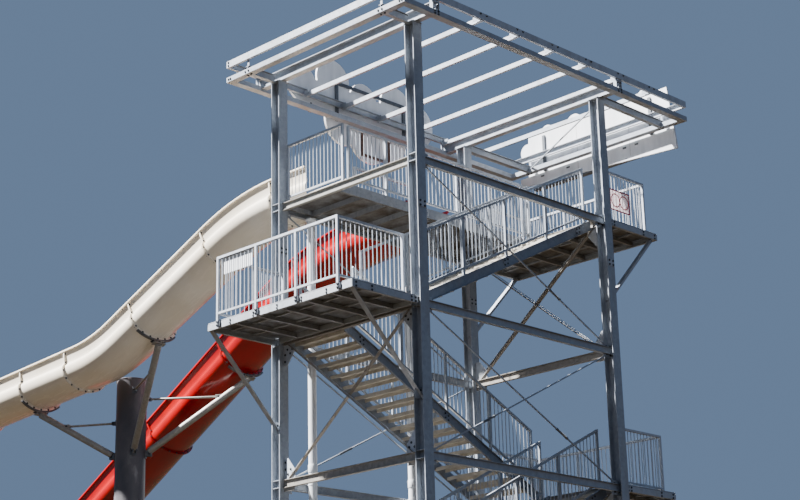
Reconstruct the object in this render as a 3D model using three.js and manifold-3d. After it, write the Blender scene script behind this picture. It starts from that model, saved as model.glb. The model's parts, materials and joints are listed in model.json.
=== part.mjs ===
// Water slide tower: a galvanised steel stair tower with five storeys, an open roof frame,
// two sign boards and the upper runs of a white and a red open slide.
// Millimetres, +Z up, ground at z = 0, origin under the middle of the front left column's base plate.
// The pieces are laid out from the centre of the tower's plan, and the group places that centre.
// +X runs from the slide side to the stair side, +Y from the front columns to the rear ones.
import * as THREE from 'three';
import { mergeVertices } from 'three/addons/utils/BufferGeometryUtils.js';
import Module from 'manifold-3d';

const wasm = await Module();
wasm.setup();

// Driving dimensions
const gap = 0.3125;              // between solids that touch, exact in 32-bit numbers
const storey = 2880;             // 17 risers
const storeys = 5;
const columnX = 1980;            // half spacing of the columns across the slides
const columnY = 2880;            // half spacing of the columns along the stairs
const columnSide = 240;          // H section, flanges face +X and -X
const flangeThick = 16;
const webThick = 12;
const basePlate = 440;
const basePlateThick = 25;
const capPlate = 270;
const capPlateThick = 16;
const stiffenerThick = 12;
const columnSplice = 4660;       // where the lower length of a column ends
const beamDepth = 160;
const beamWidth = 90;
const beamTopBelowFloor = 20;
const deckThick = 30;
const landingReach = 4700;       // outer edge of a landing from the tower's centre
const landingHalf = 2040;        // half width of a landing
const edgeDepth = 125;           // channels round a landing
const deckEdgeDepth = 180;       // beam on the top deck's inner edge
const braceLeg = 80;
const braceThick = 14;
const rodSide = 26;              // side bracing
const gusset = 300;
const plateThick = 12;
const strutLeg = 110;            // struts under a landing
const strutThick = 10;
const strutDrop = 1848;          // from the edge channels down to the foot of a strut
const railHeight = 1280;         // above the floor
const railSide = 50;
const footRailSide = 40;
const footRailRise = 130;
const railX = 1700;              // guard rails along Y
const railY = landingReach + railSide / 2 + gap;     // guard rails along X, on the edge channels' faces
const railPostDrop = 140;        // below the floor, on the edge channel
const laneInner = 90;            // stair lanes start here each side of the middle
const laneOuter = 1690;
const stringerThick = 50;
const stringerDepth = 230;
const treadDepth = 300;
const treadThick = 60;
const risers = 17;
const roofBeamUnder = 17130;     // underside of the roof's cross beams
const roofBeamDepth = 240;
const roofBeamWidth = 150;
const roofX = 2640;              // half width of the roof
const roofFront = -3780;
const roofRear = 5330;
const lowerRingMid = 17135;      // channels laid flat, legs up
const lowerRingDepth = 110;
const lowerRingWidth = 160;
const fasciaUnder = 17410;
const fasciaDepth = 150;
const fasciaWidth = 60;
const purlinUnder = 17390;
const purlinDepth = 100;
const purlinWidth = 55;
const purlinFirst = -1550;
const purlinPitch = 1110;
const purlinCount = 6;
const stubWidth = 100;           // short beams from the columns to the ring's ends
const stubDepth = 170;
const stubMid = 17172;
const packerHalfX = 28;          // between a cross beam and the upper ring
const packerHalfY = 60;
const packerInset = 45;
const slideY = 1600;             // centre line of each slide from the tower's centre
const troughDeep = 900;          // rim to the underside of a slide's trough
const slideRise = 128;           // head of a slide above the beam that carries it
const slideRim = storeys * storey - beamTopBelowFloor + slideRise + troughDeep;
const slideStart = -columnX + beamWidth / 2 - gap;   // deck end of both slides
const supportX = -10400;         // slide support column
const supportY = -300;
const supportRadius = 370;
const supportTop = 12600;
const armFoot = 10500;           // height where the support's arms meet its axis
const armRadius = 80;
const tieRadius = 28;
const saddleThick = 40;
const saddleHalf = 30;           // along the slide
const bracketDeep = 85;          // between a saddle and its arm
const bracketAlong = 120;
const bracketAcross = 380;
const riserRadius = 85;
const riserX = -1800;

const metal = { color: 0xa9b0b8, roughness: 0.45, metalness: 0.8 };
const treadMetal = { color: 0xb5a48c, roughness: 0.7, metalness: 0.2 };
const whiteGlass = { color: 0xe6ddcd, roughness: 0.25, metalness: 0 };
const redGlass = { color: 0xb3101a, roughness: 0.2, metalness: 0 };
const whitePaint = { color: 0xe9eaec, roughness: 0.4, metalness: 0 };
const greyPaint = { color: 0x4c4f57, roughness: 0.5, metalness: 0.2 };

const tower = new THREE.Group();

// Solids from three.js shapes
function toSolid(geometry) {
  const bare = geometry.index ? geometry.toNonIndexed() : geometry.clone();
  bare.deleteAttribute('normal');
  bare.deleteAttribute('uv');
  const merged = mergeVertices(bare, 1e-3);
  return new wasm.Manifold(new wasm.Mesh({
    numProp: 3,
    vertProperties: new Float32Array(merged.attributes.position.array),
    triVerts: new Uint32Array(merged.index.array),
  }));
}

function join(solids) {
  return solids.reduce((whole, solid) => whole.add(solid));
}

function addNode(name, solid, look) {
  const data = solid.getMesh();
  const geometry = new THREE.BufferGeometry();
  geometry.setAttribute('position', new THREE.BufferAttribute(new Float32Array(data.vertProperties), 3));
  geometry.setIndex(new THREE.BufferAttribute(new Uint32Array(data.triVerts), 1));
  geometry.computeVertexNormals();
  const mesh = new THREE.Mesh(geometry, new THREE.MeshStandardMaterial(look));
  mesh.name = name;
  tower.add(mesh);
}

function block(lowX, highX, lowY, highY, lowZ, highZ) {
  const geometry = new THREE.BoxGeometry(highX - lowX, highY - lowY, highZ - lowZ);
  geometry.translate((lowX + highX) / 2, (lowY + highY) / 2, (lowZ + highZ) / 2);
  return toSolid(geometry);
}

function outline(points) {
  return new THREE.Shape(points.map(([across, up]) => new THREE.Vector2(across, up)));
}

// A straight bar whose section stands across the line from start to end
function bar(section, start, end, upHint = [0, 0, 1]) {
  const from = new THREE.Vector3(...start);
  const along = new THREE.Vector3(...end).sub(from);
  const length = along.length();
  along.normalize();
  const across = new THREE.Vector3().crossVectors(new THREE.Vector3(...upHint), along).normalize();
  const up = new THREE.Vector3().crossVectors(along, across);
  const geometry = new THREE.ExtrudeGeometry(section, { depth: length, bevelEnabled: false });
  geometry.applyMatrix4(new THREE.Matrix4().makeBasis(across, up, along).setPosition(from));
  return toSolid(geometry);
}

function rectangle(width, depth) {
  return outline([[-width / 2, -depth / 2], [width / 2, -depth / 2], [width / 2, depth / 2], [-width / 2, depth / 2]]);
}

function iSection(width, depth, flange, web) {
  const w = width / 2;
  const d = depth / 2;
  const t = web / 2;
  return outline([
    [-w, -d], [w, -d], [w, -d + flange], [t, -d + flange], [t, d - flange], [w, d - flange],
    [w, d], [-w, d], [-w, d - flange], [-t, d - flange], [-t, -d + flange], [-w, -d + flange],
  ]);
}

// A channel whose back stands at across = 0 and whose flanges point to the given side
function channel(depth, width, thick, side) {
  const d = depth / 2;
  return outline([
    [0, -d], [side * width, -d], [side * width, -d + thick], [side * thick, -d + thick],
    [side * thick, d - thick], [side * width, d - thick], [side * width, d], [0, d],
  ]);
}

function angle(leg, thick) {
  const h = leg / 2;
  return outline([[-h, -h], [h, -h], [h, -h + thick], [-h + thick, -h + thick], [-h + thick, h], [-h, h]]);
}

function roundBar(radius, sides, start, end) {
  const points = [];
  for (let i = 0; i < sides; i += 1) {
    const turn = (2 * Math.PI * i) / sides;
    points.push([radius * Math.cos(turn), radius * Math.sin(turn)]);
  }
  const steep = Math.abs(end[0] - start[0]) + Math.abs(end[1] - start[1]) < 1;
  return bar(outline(points), start, end, steep ? [0, 1, 0] : [0, 0, 1]);
}

const floorAt = (level) => level * storey;
const beamMid = (level) => floorAt(level) - beamTopBelowFloor - beamDepth / 2;
const columnHalf = columnSide / 2;
const innerX = columnX - columnHalf;       // face of a column towards the middle
const webFaceY = columnY - webThick / 2;

// Columns: H sections in two lengths, with base plate, cap plate and stiffeners at each floor's beams
function makeColumn(name, signX, signY) {
  const x = signX * columnX;
  const y = signY * columnY;
  const top = roofBeamUnder - gap;
  const section = iSection(columnSide, columnSide, flangeThick, webThick);
  const lower = [
    bar(section, [x, y, basePlateThick - 5], [x, y, columnSplice - gap], [1, 0, 0]),
    block(x - basePlate / 2, x + basePlate / 2, y - basePlate / 2, y + basePlate / 2, 0, basePlateThick),
  ];
  const upper = [
    bar(section, [x, y, columnSplice], [x, y, top - 5], [1, 0, 0]),
    block(x - capPlate / 2, x + capPlate / 2, y - capPlate / 2, y + capPlate / 2, top - capPlateThick, top),
  ];
  const outside = signY * (columnHalf - 12);
  for (let level = 1; level <= storeys; level += 1) {
    for (const side of [-1, 1]) {
      const z = beamMid(level) + side * (beamDepth - stiffenerThick) / 2;
      const length = z < columnSplice ? lower : upper;
      length.push(block(x - columnHalf + 2, x + columnHalf - 2, Math.min(y, y + outside), Math.max(y, y + outside),
        z - stiffenerThick / 2, z + stiffenerThick / 2));
    }
  }
  addNode(`${name}_lower`, join(lower), metal);
  addNode(`${name}_upper`, join(upper), metal);
}
makeColumn('column_front_left', -1, -1);
makeColumn('column_front_right', 1, -1);
makeColumn('column_rear_right', 1, 1);
makeColumn('column_rear_left', -1, 1);

// Side frames: floor beams, crossed braces and the plates that take them
const beamSection = iSection(beamWidth, beamDepth, 12, 8);
const braceSection = rectangle(braceLeg, braceThick);
const rodSection = rectangle(rodSide, rodSide);

function faceSpan(face) {
  const alongX = face === 'front' || face === 'rear';
  const side = face === 'rear' || face === 'right' ? 1 : -1;
  const half = alongX ? innerX - gap : webFaceY - gap;
  const point = alongX ? (u, z) => [u, side * columnY, z] : (u, z) => [side * columnX, u, z];
  return { alongX, half, point };
}

function faceBeam(face, level) {
  const { half, point } = faceSpan(face);
  return bar(beamSection, point(-half, beamMid(level)), point(half, beamMid(level)));
}

function facePlate(face, end, z) {
  const { alongX, half, point } = faceSpan(face);
  const middle = point(end * (half - gusset / 2), z);
  const wide = alongX ? [gusset / 2, plateThick / 2] : [plateThick / 2, gusset / 2];
  return block(middle[0] - wide[0], middle[0] + wide[0], middle[1] - wide[1], middle[1] + wide[1],
    z - gusset / 2, z + gusset / 2);
}

function faceCross(face, lowZ, highZ, section, both = true) {
  const { half, point } = faceSpan(face);
  const u = half - gusset * 0.55;
  const low = lowZ + gusset * 0.3;
  const high = highZ - gusset * 0.3;
  const bars = [bar(section, point(-u, high), point(u, low))];
  if (both) bars.push(bar(section, point(-u, low), point(u, high)));
  return join(bars);
}

// Each side frame: its face, floors with a beam, and the storeys that are braced
const sideFrames = [
  { name: 'front_frame_lower', face: 'front', beams: [1, 2], braced: [2], section: braceSection },
  { name: 'front_frame_upper', face: 'front', beams: [3, 4], braced: [4], section: braceSection },
  { name: 'front_deck_beam', face: 'front', beams: [5], braced: [], section: braceSection },
  { name: 'rear_frame_lower', face: 'rear', beams: [1], braced: [1], section: braceSection },
  { name: 'rear_frame_middle', face: 'rear', beams: [2, 3], braced: [3], section: braceSection },
  { name: 'rear_frame_upper', face: 'rear', beams: [4, 5], braced: [5], section: braceSection },
  { name: 'right_frame_lower', face: 'right', beams: [1, 2], braced: [1, 2], section: rodSection },
  { name: 'right_frame_upper', face: 'right', beams: [3, 4, 5], braced: [4, 5], section: rodSection, single: 5 },
  { name: 'left_frame_lower', face: 'left', beams: [1, 2], braced: [1, 2], section: rodSection },
  { name: 'left_frame_upper', face: 'left', beams: [3, 4, 5], braced: [4, 5], section: rodSection },
];
for (const frame of sideFrames) {
  const parts = frame.beams.map((level) => faceBeam(frame.face, level));
  for (const level of frame.braced) {
    const low = level === 1 ? 330 : beamMid(level - 1);
    parts.push(faceCross(frame.face, low, beamMid(level), frame.section, frame.single !== level));
    for (const end of [-1, 1]) {
      parts.push(facePlate(frame.face, end, low), facePlate(frame.face, end, beamMid(level)));
    }
  }
  addNode(frame.name, join(parts), metal);
}

// Landings: edge channels, joists, plate deck and two struts back to the columns
function makeLanding(name, level, side) {
  const floor = floorAt(level);
  const plateTop = floor;
  const tipY = columnY + columnHalf + gap;           // outer tips of the column flanges
  const beamFaceY = columnY + beamWidth / 2 + gap;
  const edgeZ = floor - deckThick - edgeDepth / 2;
  const y = (value) => side * value;
  const span = (a, b) => [Math.min(y(a), y(b)), Math.max(y(a), y(b))];
  const parts = [];
  for (const end of [-1, 1]) {
    const back = end * landingHalf;
    parts.push(bar(channel(edgeDepth, 65, 10, 1), [back, y(tipY), edgeZ], [back, y(landingReach), edgeZ],
      [0, 0, end * side > 0 ? 1 : -1]));
  }
  const outer = channel(edgeDepth, 65, 10, 1);
  const reach = landingHalf;
  parts.push(side > 0
    ? bar(outer, [reach, landingReach, edgeZ], [-reach, landingReach, edgeZ])
    : bar(outer, [-reach, -landingReach, edgeZ], [reach, -landingReach, edgeZ]));
  parts.push(block(-landingHalf + 5, landingHalf - 5, ...span(tipY, landingReach - 5),
    plateTop - deckThick - 1, plateTop));
  parts.push(block(-innerX + 10, innerX - 10, ...span(beamFaceY, tipY + 10), plateTop - deckThick - 1, plateTop));
  parts.push(block(-innerX + 10, innerX - 10, ...span(beamFaceY, beamFaceY + 60), edgeZ - 40, plateTop - deckThick));
  const joists = 6;
  for (let i = 1; i < joists; i += 1) {
    const x = -landingHalf + (2 * landingHalf * i) / joists;
    parts.push(block(x - 30, x + 30, ...span(beamFaceY + 20, landingReach - 5), edgeZ - 20, plateTop - deckThick));
  }
  const strut = angle(strutLeg, strutThick);
  const footZ = edgeZ - strutDrop;
  const webY = columnY + webThick / 2 + gap;           // a strut reaches in between the column's flanges
  for (const end of [-1, 1]) {
    const x = end * columnX;
    const whole = bar(strut, [x, y(landingReach - 60), edgeZ], [x, y(columnY - 40), footZ], [1, 0, 0]);
    parts.push(whole.subtract(block(x - 200, x + 200, ...span(columnY - 400, webY), footZ - 400, edgeZ)));
    parts.push(block(x - plateThick / 2, x + plateThick / 2, ...span(webY, webY + 200), footZ - 20, footZ + 200));
  }
  addNode(name, join(parts), metal);
}
const landingSides = [1, -1, 1, -1, 1];              // +1 rear, -1 front
for (let level = 1; level <= storeys; level += 1) {
  makeLanding(`landing_${level}`, level, landingSides[level - 1]);
}

// Guard rails: posts, top rail and foot rail along a run of points on a floor
const postSpacing = 1160;
function railRun(points, floor) {
  const parts = [];
  const section = rectangle(railSide, railSide);
  const footRail = rectangle(footRailSide, footRailSide);
  const topZ = floor + railHeight - railSide / 2;
  for (let i = 0; i + 1 < points.length; i += 1) {
    const [ax, ay] = points[i];
    const [bx, by] = points[i + 1];
    const length = Math.hypot(bx - ax, by - ay);
    const bays = Math.max(1, Math.round(length / postSpacing));
    const stepX = (railSide / 2) * Math.sign(bx - ax);
    const stepY = (railSide / 2) * Math.sign(by - ay);
    parts.push(bar(section, [ax - stepX, ay - stepY, topZ], [bx + stepX, by + stepY, topZ]));
    parts.push(bar(footRail, [ax, ay, floor + footRailRise], [bx, by, floor + footRailRise]));
    for (let k = i === 0 ? 0 : 1; k <= bays; k += 1) {
      const x = ax + ((bx - ax) * k) / bays;
      const y = ay + ((by - ay) * k) / bays;
      const half = railSide / 2;
      const foot = Math.abs(y) > landingReach ? floor - railPostDrop : floor + gap;
      parts.push(block(x - half, x + half, y - half, y + half, foot, topZ));
    }
  }
  return join(parts);
}

for (let level = 1; level <= storeys; level += 1) {
  const side = landingSides[level - 1];
  const start = side * (columnY + columnHalf + 40);
  const corner = side * railY;
  const points = [[railX, start], [railX, corner], [-railX, corner], [-railX, start]];
  addNode(`landing_rail_${level}`, railRun(points, floorAt(level)), metal);
}

// Top deck: slide side of the top storey, with joists, and its guard rails
const deckFloor = floorAt(storeys);
const deckInner = -laneInner - 40;
const deckY = columnY - beamWidth / 2 - gap;
const deckX = columnX - beamWidth / 2 - gap;
const slideHalf = 640;                              // lip to lip, half
{
  const under = deckFloor - deckThick;
  const parts = [
    block(-innerX + gap, deckInner, -deckY, deckY, under, deckFloor),
    block(-deckX, -innerX + 5, -columnY + columnHalf + 20, columnY - columnHalf - 20, under, deckFloor),
    block(deckInner - 65, deckInner, -deckY, deckY, under - deckEdgeDepth, under + 1),
    block(-innerX + gap, -innerX + 60, -deckY, deckY, under - 100, under + 1),
  ];
  const joists = 8;
  for (let i = 0; i <= joists; i += 1) {
    const y = -deckY + 35 + ((2 * deckY - 70) * i) / joists;
    parts.push(block(-innerX + gap, deckInner, y - 30, y + 30, under - 120, under + 1));
  }
  addNode('top_deck', join(parts), metal);
}
addNode('deck_rail_front', railRun([[-innerX + 60, -columnY + 90], [deckInner - 30, -columnY + 90]], deckFloor), metal);
addNode('deck_rail_inner', railRun([[deckInner - 30, -columnY + 250], [deckInner - 30, columnY - 160]], deckFloor), metal);
addNode('deck_rail_slides', railRun([[-innerX + 60, -slideY + slideHalf + 90],
  [-innerX + 60, slideY - slideHalf - 90]], deckFloor), metal);

// Stair flights: two stringers and open treads; upper floors alternate front and rear
const nosingRun = 2 * columnY;
const going = nosingRun / risers;
const riser = storey / risers;

function makeFlight(level, lane, direction) {
  const lowZ = floorAt(level - 1);
  const startY = -direction * columnY;
  const slope = riser / going;
  const lowSide = lane * laneInner;
  const highSide = lane * laneOuter;
  const edges = [Math.min(lowSide, highSide), Math.max(lowSide, highSide)];
  const at = (run) => startY + direction * run;
  const startRun = level === 1 ? 0 : beamWidth / 2 + gap;
  const endRun = nosingRun - beamWidth / 2 - gap;
  const span = (a, b) => [Math.min(at(a), at(b)), Math.max(at(a), at(b))];
  const parts = [];
  const lift = 30;                                    // stringer top above the nosing line
  for (const x of [edges[0], edges[1] - stringerThick]) {
    const low = (run) => lowZ + run * slope + lift - stringerDepth;
    const high = (run) => lowZ + run * slope + lift;
    const first = level === 1 ? 0 : startRun;
    const floorCut = lowZ + (level === 1 ? 0 : -200);
    const firstLow = Math.max(low(first), floorCut);
    const meet = (stringerDepth - lift) / slope;
    const shape = level === 1
      ? [[first, 0], [first, high(first)], [endRun, high(endRun)], [endRun, low(endRun)], [meet, 0]]
      : [[first, firstLow], [first, high(first)], [endRun, high(endRun)], [endRun, low(endRun)]];
    const section = outline(shape.map(([run, z]) => [direction * run, z]));
    const geometry = new THREE.ExtrudeGeometry(section, { depth: stringerThick, bevelEnabled: false });
    const basis = new THREE.Matrix4().makeBasis(
      new THREE.Vector3(0, 1, 0), new THREE.Vector3(0, 0, 1), new THREE.Vector3(1, 0, 0));
    geometry.applyMatrix4(basis.setPosition(new THREE.Vector3(x, startY, 0)));
    parts.push(toSolid(geometry));
  }
  for (let i = 1; i < risers; i += 1) {
    const z = lowZ + i * riser;
    const run = i * going;
    parts.push(block(edges[0] + 10, edges[1] - 10, ...span(run - 10, run - 10 + treadDepth), z - treadThick, z));
  }
  addNode(`stair_flight_${level}`, join(parts), treadMetal);

  // A sloping guard rail on each stringer
  for (const x of [edges[0] + stringerThick / 2, edges[1] - stringerThick / 2]) {
    const inner = Math.abs(x) < laneOuter / 2;
    const firstRun = 260;
    const lastRun = nosingRun - 260;
    const zAt = (run) => lowZ + run * slope;
    const rail = rectangle(railSide, railSide);
    const low = [x, at(firstRun), zAt(firstRun) + railHeight - 25];
    const high = [x, at(lastRun), zAt(lastRun) + railHeight - 25];
    const foot = [[x, at(firstRun), zAt(firstRun) + 170], [x, at(lastRun), zAt(lastRun) + 170]];
    const pieces = [bar(rail, low, high), bar(rectangle(footRailSide, footRailSide), foot[0], foot[1])];
    const posts = 4;
    const wedgeHalf = 30 * Math.hypot(1, slope);      // trims each post's foot to the stringer's top
    for (let k = 0; k <= posts; k += 1) {
      const run = firstRun + 25 + ((lastRun - firstRun - 50) * k) / posts;
      const footZ = zAt(run) + lift + 25 * slope + gap + 1;
      const post = block(x - 23, x + 23, at(run) - 25, at(run) + 25, footZ - 12, zAt(run) + railHeight - 20);
      const wedge = bar(rectangle(80, 60), [x, at(run - 60), zAt(run - 60) + lift + gap - wedgeHalf],
        [x, at(run + 60), zAt(run + 60) + lift + gap - wedgeHalf]);
      pieces.push(post.subtract(wedge));
    }
    addNode(`stair_rail_${level}_${inner ? 'inner' : 'outer'}`, join(pieces), metal);
  }
}
const flightLanes = [1, -1, 1, -1, 1];
for (let level = 1; level <= storeys; level += 1) {
  makeFlight(level, flightLanes[level - 1], landingSides[level - 1]);
}

// Roof: cross beams on the columns with a flat lower ring, then purlins and an upper fascia on packers
function roofRing(along, across, midZ, inset) {
  return [
    bar(across, [-roofX + inset, roofFront, midZ], [roofX - inset, roofFront, midZ]),
    bar(along, [roofX, roofFront + 1, midZ], [roofX, roofRear + 1, midZ]),
    bar(across, [roofX - inset, roofRear, midZ], [-roofX + inset, roofRear, midZ]),
    bar(along, [-roofX, roofRear + 1, midZ], [-roofX, roofFront + 1, midZ]),
  ];
}
function flatChannel(width, depth, thick) {
  const d = depth / 2;
  return outline([
    [0, -d], [width, -d], [width, d], [width - thick, d], [width - thick, -d + thick],
    [thick, -d + thick], [thick, d], [0, d],
  ]);
}
{
  const z = roofBeamUnder + roofBeamDepth / 2;
  const parts = roofRing(flatChannel(lowerRingWidth, lowerRingDepth, 10),
    flatChannel(lowerRingWidth - 3, lowerRingDepth - 4, 7), lowerRingMid, 3);
  const beam = iSection(roofBeamWidth, roofBeamDepth, 15, 10);
  const stub = iSection(stubWidth, stubDepth, 11, 8);
  const beamInset = 14;                               // from the outside of the ring
  const stubInset = 16;
  const stubStart = columnY + capPlate / 2 + gap;      // clear of the column's cap plate
  for (const side of [-1, 1]) {
    parts.push(bar(beam, [-roofX + beamInset, side * columnY, z], [roofX - beamInset, side * columnY, z]));
    parts.push(bar(stub, [side * columnX, roofFront + stubInset, stubMid], [side * columnX, -stubStart, stubMid]));
    parts.push(bar(stub, [side * columnX, stubStart, stubMid], [side * columnX, roofRear - stubInset, stubMid]));
  }
  const rodRear = roofRear - 90;
  parts.push(bar(rodSection, [columnX - 2, stubStart + 40, stubMid], [-columnX + 2, rodRear, stubMid]));
  addNode('roof_main_frame', join(parts), metal);
}
{
  const z = purlinUnder + purlinDepth / 2;
  const section = channel(purlinDepth, purlinWidth, 8, 1);
  const parts = roofRing(channel(fasciaDepth, fasciaWidth, 10, 1), channel(fasciaDepth - 4, fasciaWidth - 3, 7, 1),
    fasciaUnder + fasciaDepth / 2, 3);
  for (let i = 0; i < purlinCount; i += 1) {
    const y = purlinFirst + i * purlinPitch;
    parts.push(bar(section, [-roofX + 6, y, z], [roofX - 6, y, z]));
  }
  for (const sideX of [-1, 1]) {
    for (const sideY of [-1, 1]) {
      const x = sideX * (roofX - packerInset);
      const y = sideY * columnY;
      parts.push(block(x - packerHalfX, x + packerHalfX, y - packerHalfY, y + packerHalfY,
        roofBeamUnder + roofBeamDepth + gap, fasciaUnder + 4));
    }
  }
  addNode('roof_purlins', join(parts), metal);
}

// Sign boards: cut-out sheets with round lobes, held off the roof edge by frames
function board(lobes, thick, place) {
  const solids = lobes.map(([across, up, radius, high]) => {
    const shape = new THREE.Shape();
    if (high) {
      shape.moveTo(across, up);
      shape.lineTo(across + radius, up);
      shape.lineTo(across + radius, up + high);
      shape.lineTo(across, up + high);
    } else {
      shape.absarc(across, up, radius, 0, 2 * Math.PI);
    }
    const geometry = new THREE.ExtrudeGeometry(shape, { depth: thick, bevelEnabled: false, curveSegments: 7 });
    geometry.applyMatrix4(place);
    return toSolid(geometry);
  });
  return join(solids);
}
const signOff = 70;
const sheetThick = 50;
const signArm = 40;              // half side of the arms and posts that hold a sheet
const leftSheet = [              // [y, z, radius] of a lobe, or [y, z, width, height] of a panel
  [-1750, 17180, 3950, 760], [-1560, 17740, 440], [-620, 18070, 500], [330, 17830, 420],
  [1380, 17960, 500], [2080, 17700, 520], [-330, 17130, 540], [480, 16990, 640], [1150, 17110, 540],
];
const rearSheet = [              // the same, across in x
  [-2100, 17000, 4250, 1120], [-2150, 17720, 210], [-1500, 18060, 190], [-650, 18040, 240],
  [450, 18030, 260], [1450, 18050, 220], [2100, 17700, 300],
];
const rearValance = { low: 16590, high: 17060, left: -2450, right: 2250, deep: 200 };
{
  const place = new THREE.Matrix4().makeBasis(
    new THREE.Vector3(0, 1, 0), new THREE.Vector3(0, 0, 1), new THREE.Vector3(1, 0, 0));
  place.setPosition(-roofX - signOff - sheetThick, 0, 0);
  const parts = [board(leftSheet, sheetThick, place)];
  const back = -roofX - signOff;
  for (const y of [-1350, -540, 1600]) {
    parts.push(block(back - 10, -roofX - gap, y - signArm, y + signArm, lowerRingMid - 30, lowerRingMid + 40));
    parts.push(block(back - 5, back + 45, y - signArm - 5, y + signArm + 5, lowerRingMid - 60, 18020));
  }
  parts.push(block(back - 3, back + 35, -540, 1700, 17990, 18070));
  addNode('sign_board_left', join(parts), whitePaint);
}
{
  const place = new THREE.Matrix4().makeBasis(
    new THREE.Vector3(1, 0, 0), new THREE.Vector3(0, 0, 1), new THREE.Vector3(0, -1, 0));
  place.setPosition(0, roofRear + signOff + sheetThick, 0);
  const back = roofRear + signOff;
  const { low, high, left, right, deep } = rearValance;
  const parts = [board(rearSheet, sheetThick, place), block(left, right, back, back + deep, low, high)];
  for (const x of [-1600, 150, 1600]) {
    parts.push(block(x - signArm, x + signArm, roofRear + gap, back + 10, lowerRingMid - 30, lowerRingMid + 40));
    parts.push(block(x - signArm, x + signArm, back - 40, back + 10, lowerRingMid - 60, 18000));
  }
  addNode('sign_board_rear', join(parts), whitePaint);
}

// Slides: an open trough with a rolled lip, swept below its rim line
const wall = 30;
const lipDrop = 40;
const neckHalf = 562;
const neckDrop = 330;
const shoulderHalf = 605;
const shoulderDrop = 400;
const waistHalf = 612;           // widest, where the round bottom begins
const waistDrop = 460;
const arcSteps = 4;              // flats in a quarter of the trough's round bottom
function troughHalf(grow) {
  const points = [[neckHalf + grow, -lipDrop], [neckHalf + grow, -neckDrop], [shoulderHalf + grow, -shoulderDrop]];
  for (let i = 1; i <= arcSteps; i += 1) {
    const turn = (Math.PI / 2) * (i / arcSteps);
    points.push([(waistHalf + grow) * Math.cos(turn), -waistDrop - (troughDeep - waistDrop + grow) * Math.sin(turn)]);
  }
  return points;
}
function mirrored(points) {
  return points.slice(0, -1).reverse().map(([across, up]) => [-across, up]);
}
function bothSides(points) {
  return points.concat(mirrored(points));
}
const innerTrough = [[neckHalf - wall, 0], ...troughHalf(-wall).slice(1)];
const troughOutline = outline([
  [slideHalf, 0], [slideHalf, -lipDrop + 5], ...bothSides(troughHalf(0)),
  [-slideHalf, -lipDrop + 5], [-slideHalf, 0], ...bothSides(innerTrough).reverse(),
]);
const collar = 60;
const collarHalf = 20;           // along the slide
const collarOutline = outline([
  ...bothSides(troughHalf(collar)), ...bothSides(troughHalf(-wall / 2)).reverse(),
]);
const bearerHalf = 400;          // the head of each slide stands on the deck's side beam
const bearerFoot = -(troughDeep + slideRise) + gap;
const bearerOutline = outline([
  ...bothSides(troughHalf(-wall / 2)).slice(4, -4), [-bearerHalf, bearerFoot], [bearerHalf, bearerFoot],
]);

// A rim line in the plane of the slide: level, turns down, runs straight and may level out again
function rimLine(course) {
  const knots = [{ run: 0, along: -slideStart, height: slideRim, slope: 0 }];
  for (const piece of course) {
    const turn = THREE.MathUtils.degToRad(piece.turn ?? 0);
    const full = piece.turn ? Math.abs(turn) * piece.radius : piece.length;
    const steps = piece.turn ? Math.ceil(full / 800) : 1;
    for (let i = 0; i < steps; i += 1) {
      const last = knots.at(-1);
      const middle = last.slope + turn / steps / 2;
      knots.push({
        run: last.run + full / steps,
        along: last.along + (full / steps) * Math.cos(middle),
        height: last.height - (full / steps) * Math.sin(middle),
        slope: last.slope + turn / steps,
      });
    }
  }
  return knots;
}

function pointAt(line, run) {
  let i = 0;
  while (i + 2 < line.length && line[i + 1].run < run) i += 1;
  const t = (run - line[i].run) / (line[i + 1].run - line[i].run);
  const mix = (key) => THREE.MathUtils.lerp(line[i][key], line[i + 1][key], t);
  return { along: mix('along'), height: mix('height'), slope: mix('slope') };
}

function sweep(section, line, from, to, centreY) {
  const inside = line.map((knot) => knot.run).filter((run) => run > from + 60 && run < to - 60);
  const stations = [from, ...inside, to].map((run) => pointAt(line, run));
  const steps = stations.length - 1;
  const geometry = new THREE.ExtrudeGeometry(section, { depth: 1, steps, bevelEnabled: false });
  const position = geometry.attributes.position;
  for (let i = 0; i < position.count; i += 1) {
    const at = stations[Math.round(position.getZ(i) * steps)];
    const up = position.getY(i);
    position.setXYZ(i, -at.along - up * Math.sin(at.slope), centreY - position.getX(i),
      at.height + up * Math.cos(at.slope));
  }
  return toSolid(geometry);
}

const whiteLine = rimLine([
  { length: 885 }, { turn: 22.7, radius: 6540 }, { length: 3780 }, { turn: -18.9, radius: 4320 }, { length: 5600 },
]);
const redLine = rimLine([
  { length: 1450 }, { turn: 29.3, radius: 7340 }, { length: 8900 },
]);

function runAt(line, along) {
  let i = 0;
  while (i + 2 < line.length && line[i + 1].along < along) i += 1;
  const t = (along - line[i].along) / (line[i + 1].along - line[i].along);
  return THREE.MathUtils.lerp(line[i].run, line[i + 1].run, t);
}

// Each slide: joints are where two flanged lengths are bolted together
function makeSlide(colour, line, centreY, joints, lengths, look) {
  const runs = joints.map((along) => runAt(line, along));
  lengths.forEach(([first, last], index) => {
    const from = first === 0 ? 0 : runs[first] + gap / 2;
    const to = runs[last] - gap / 2;
    const parts = [sweep(troughOutline, line, from, to, centreY)];
    if (first === 0) parts.push(sweep(bearerOutline, line, 2, beamWidth - 4, centreY));
    for (let k = Math.max(first, 1); k <= last; k += 1) {
      const low = Math.max(from, runs[k] - collarHalf);
      const high = Math.min(to, runs[k] + collarHalf);
      parts.push(sweep(collarOutline, line, low, high, centreY));
    }
    addNode(`${colour}_slide_${index + 1}`, join(parts), look);
  });
  return runs;
}
const whiteRuns = makeSlide('white', whiteLine, -slideY,
  [-slideStart, 3080, 5462, 8070, 10573, 12444, 14960], [[0, 3], [3, 5], [5, 6]], whiteGlass);
const redRuns = makeSlide('red', redLine, slideY,
  [-slideStart, 5900, 8723, 11490, 14600], [[0, 2], [2, 3], [3, 4]], redGlass);

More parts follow.
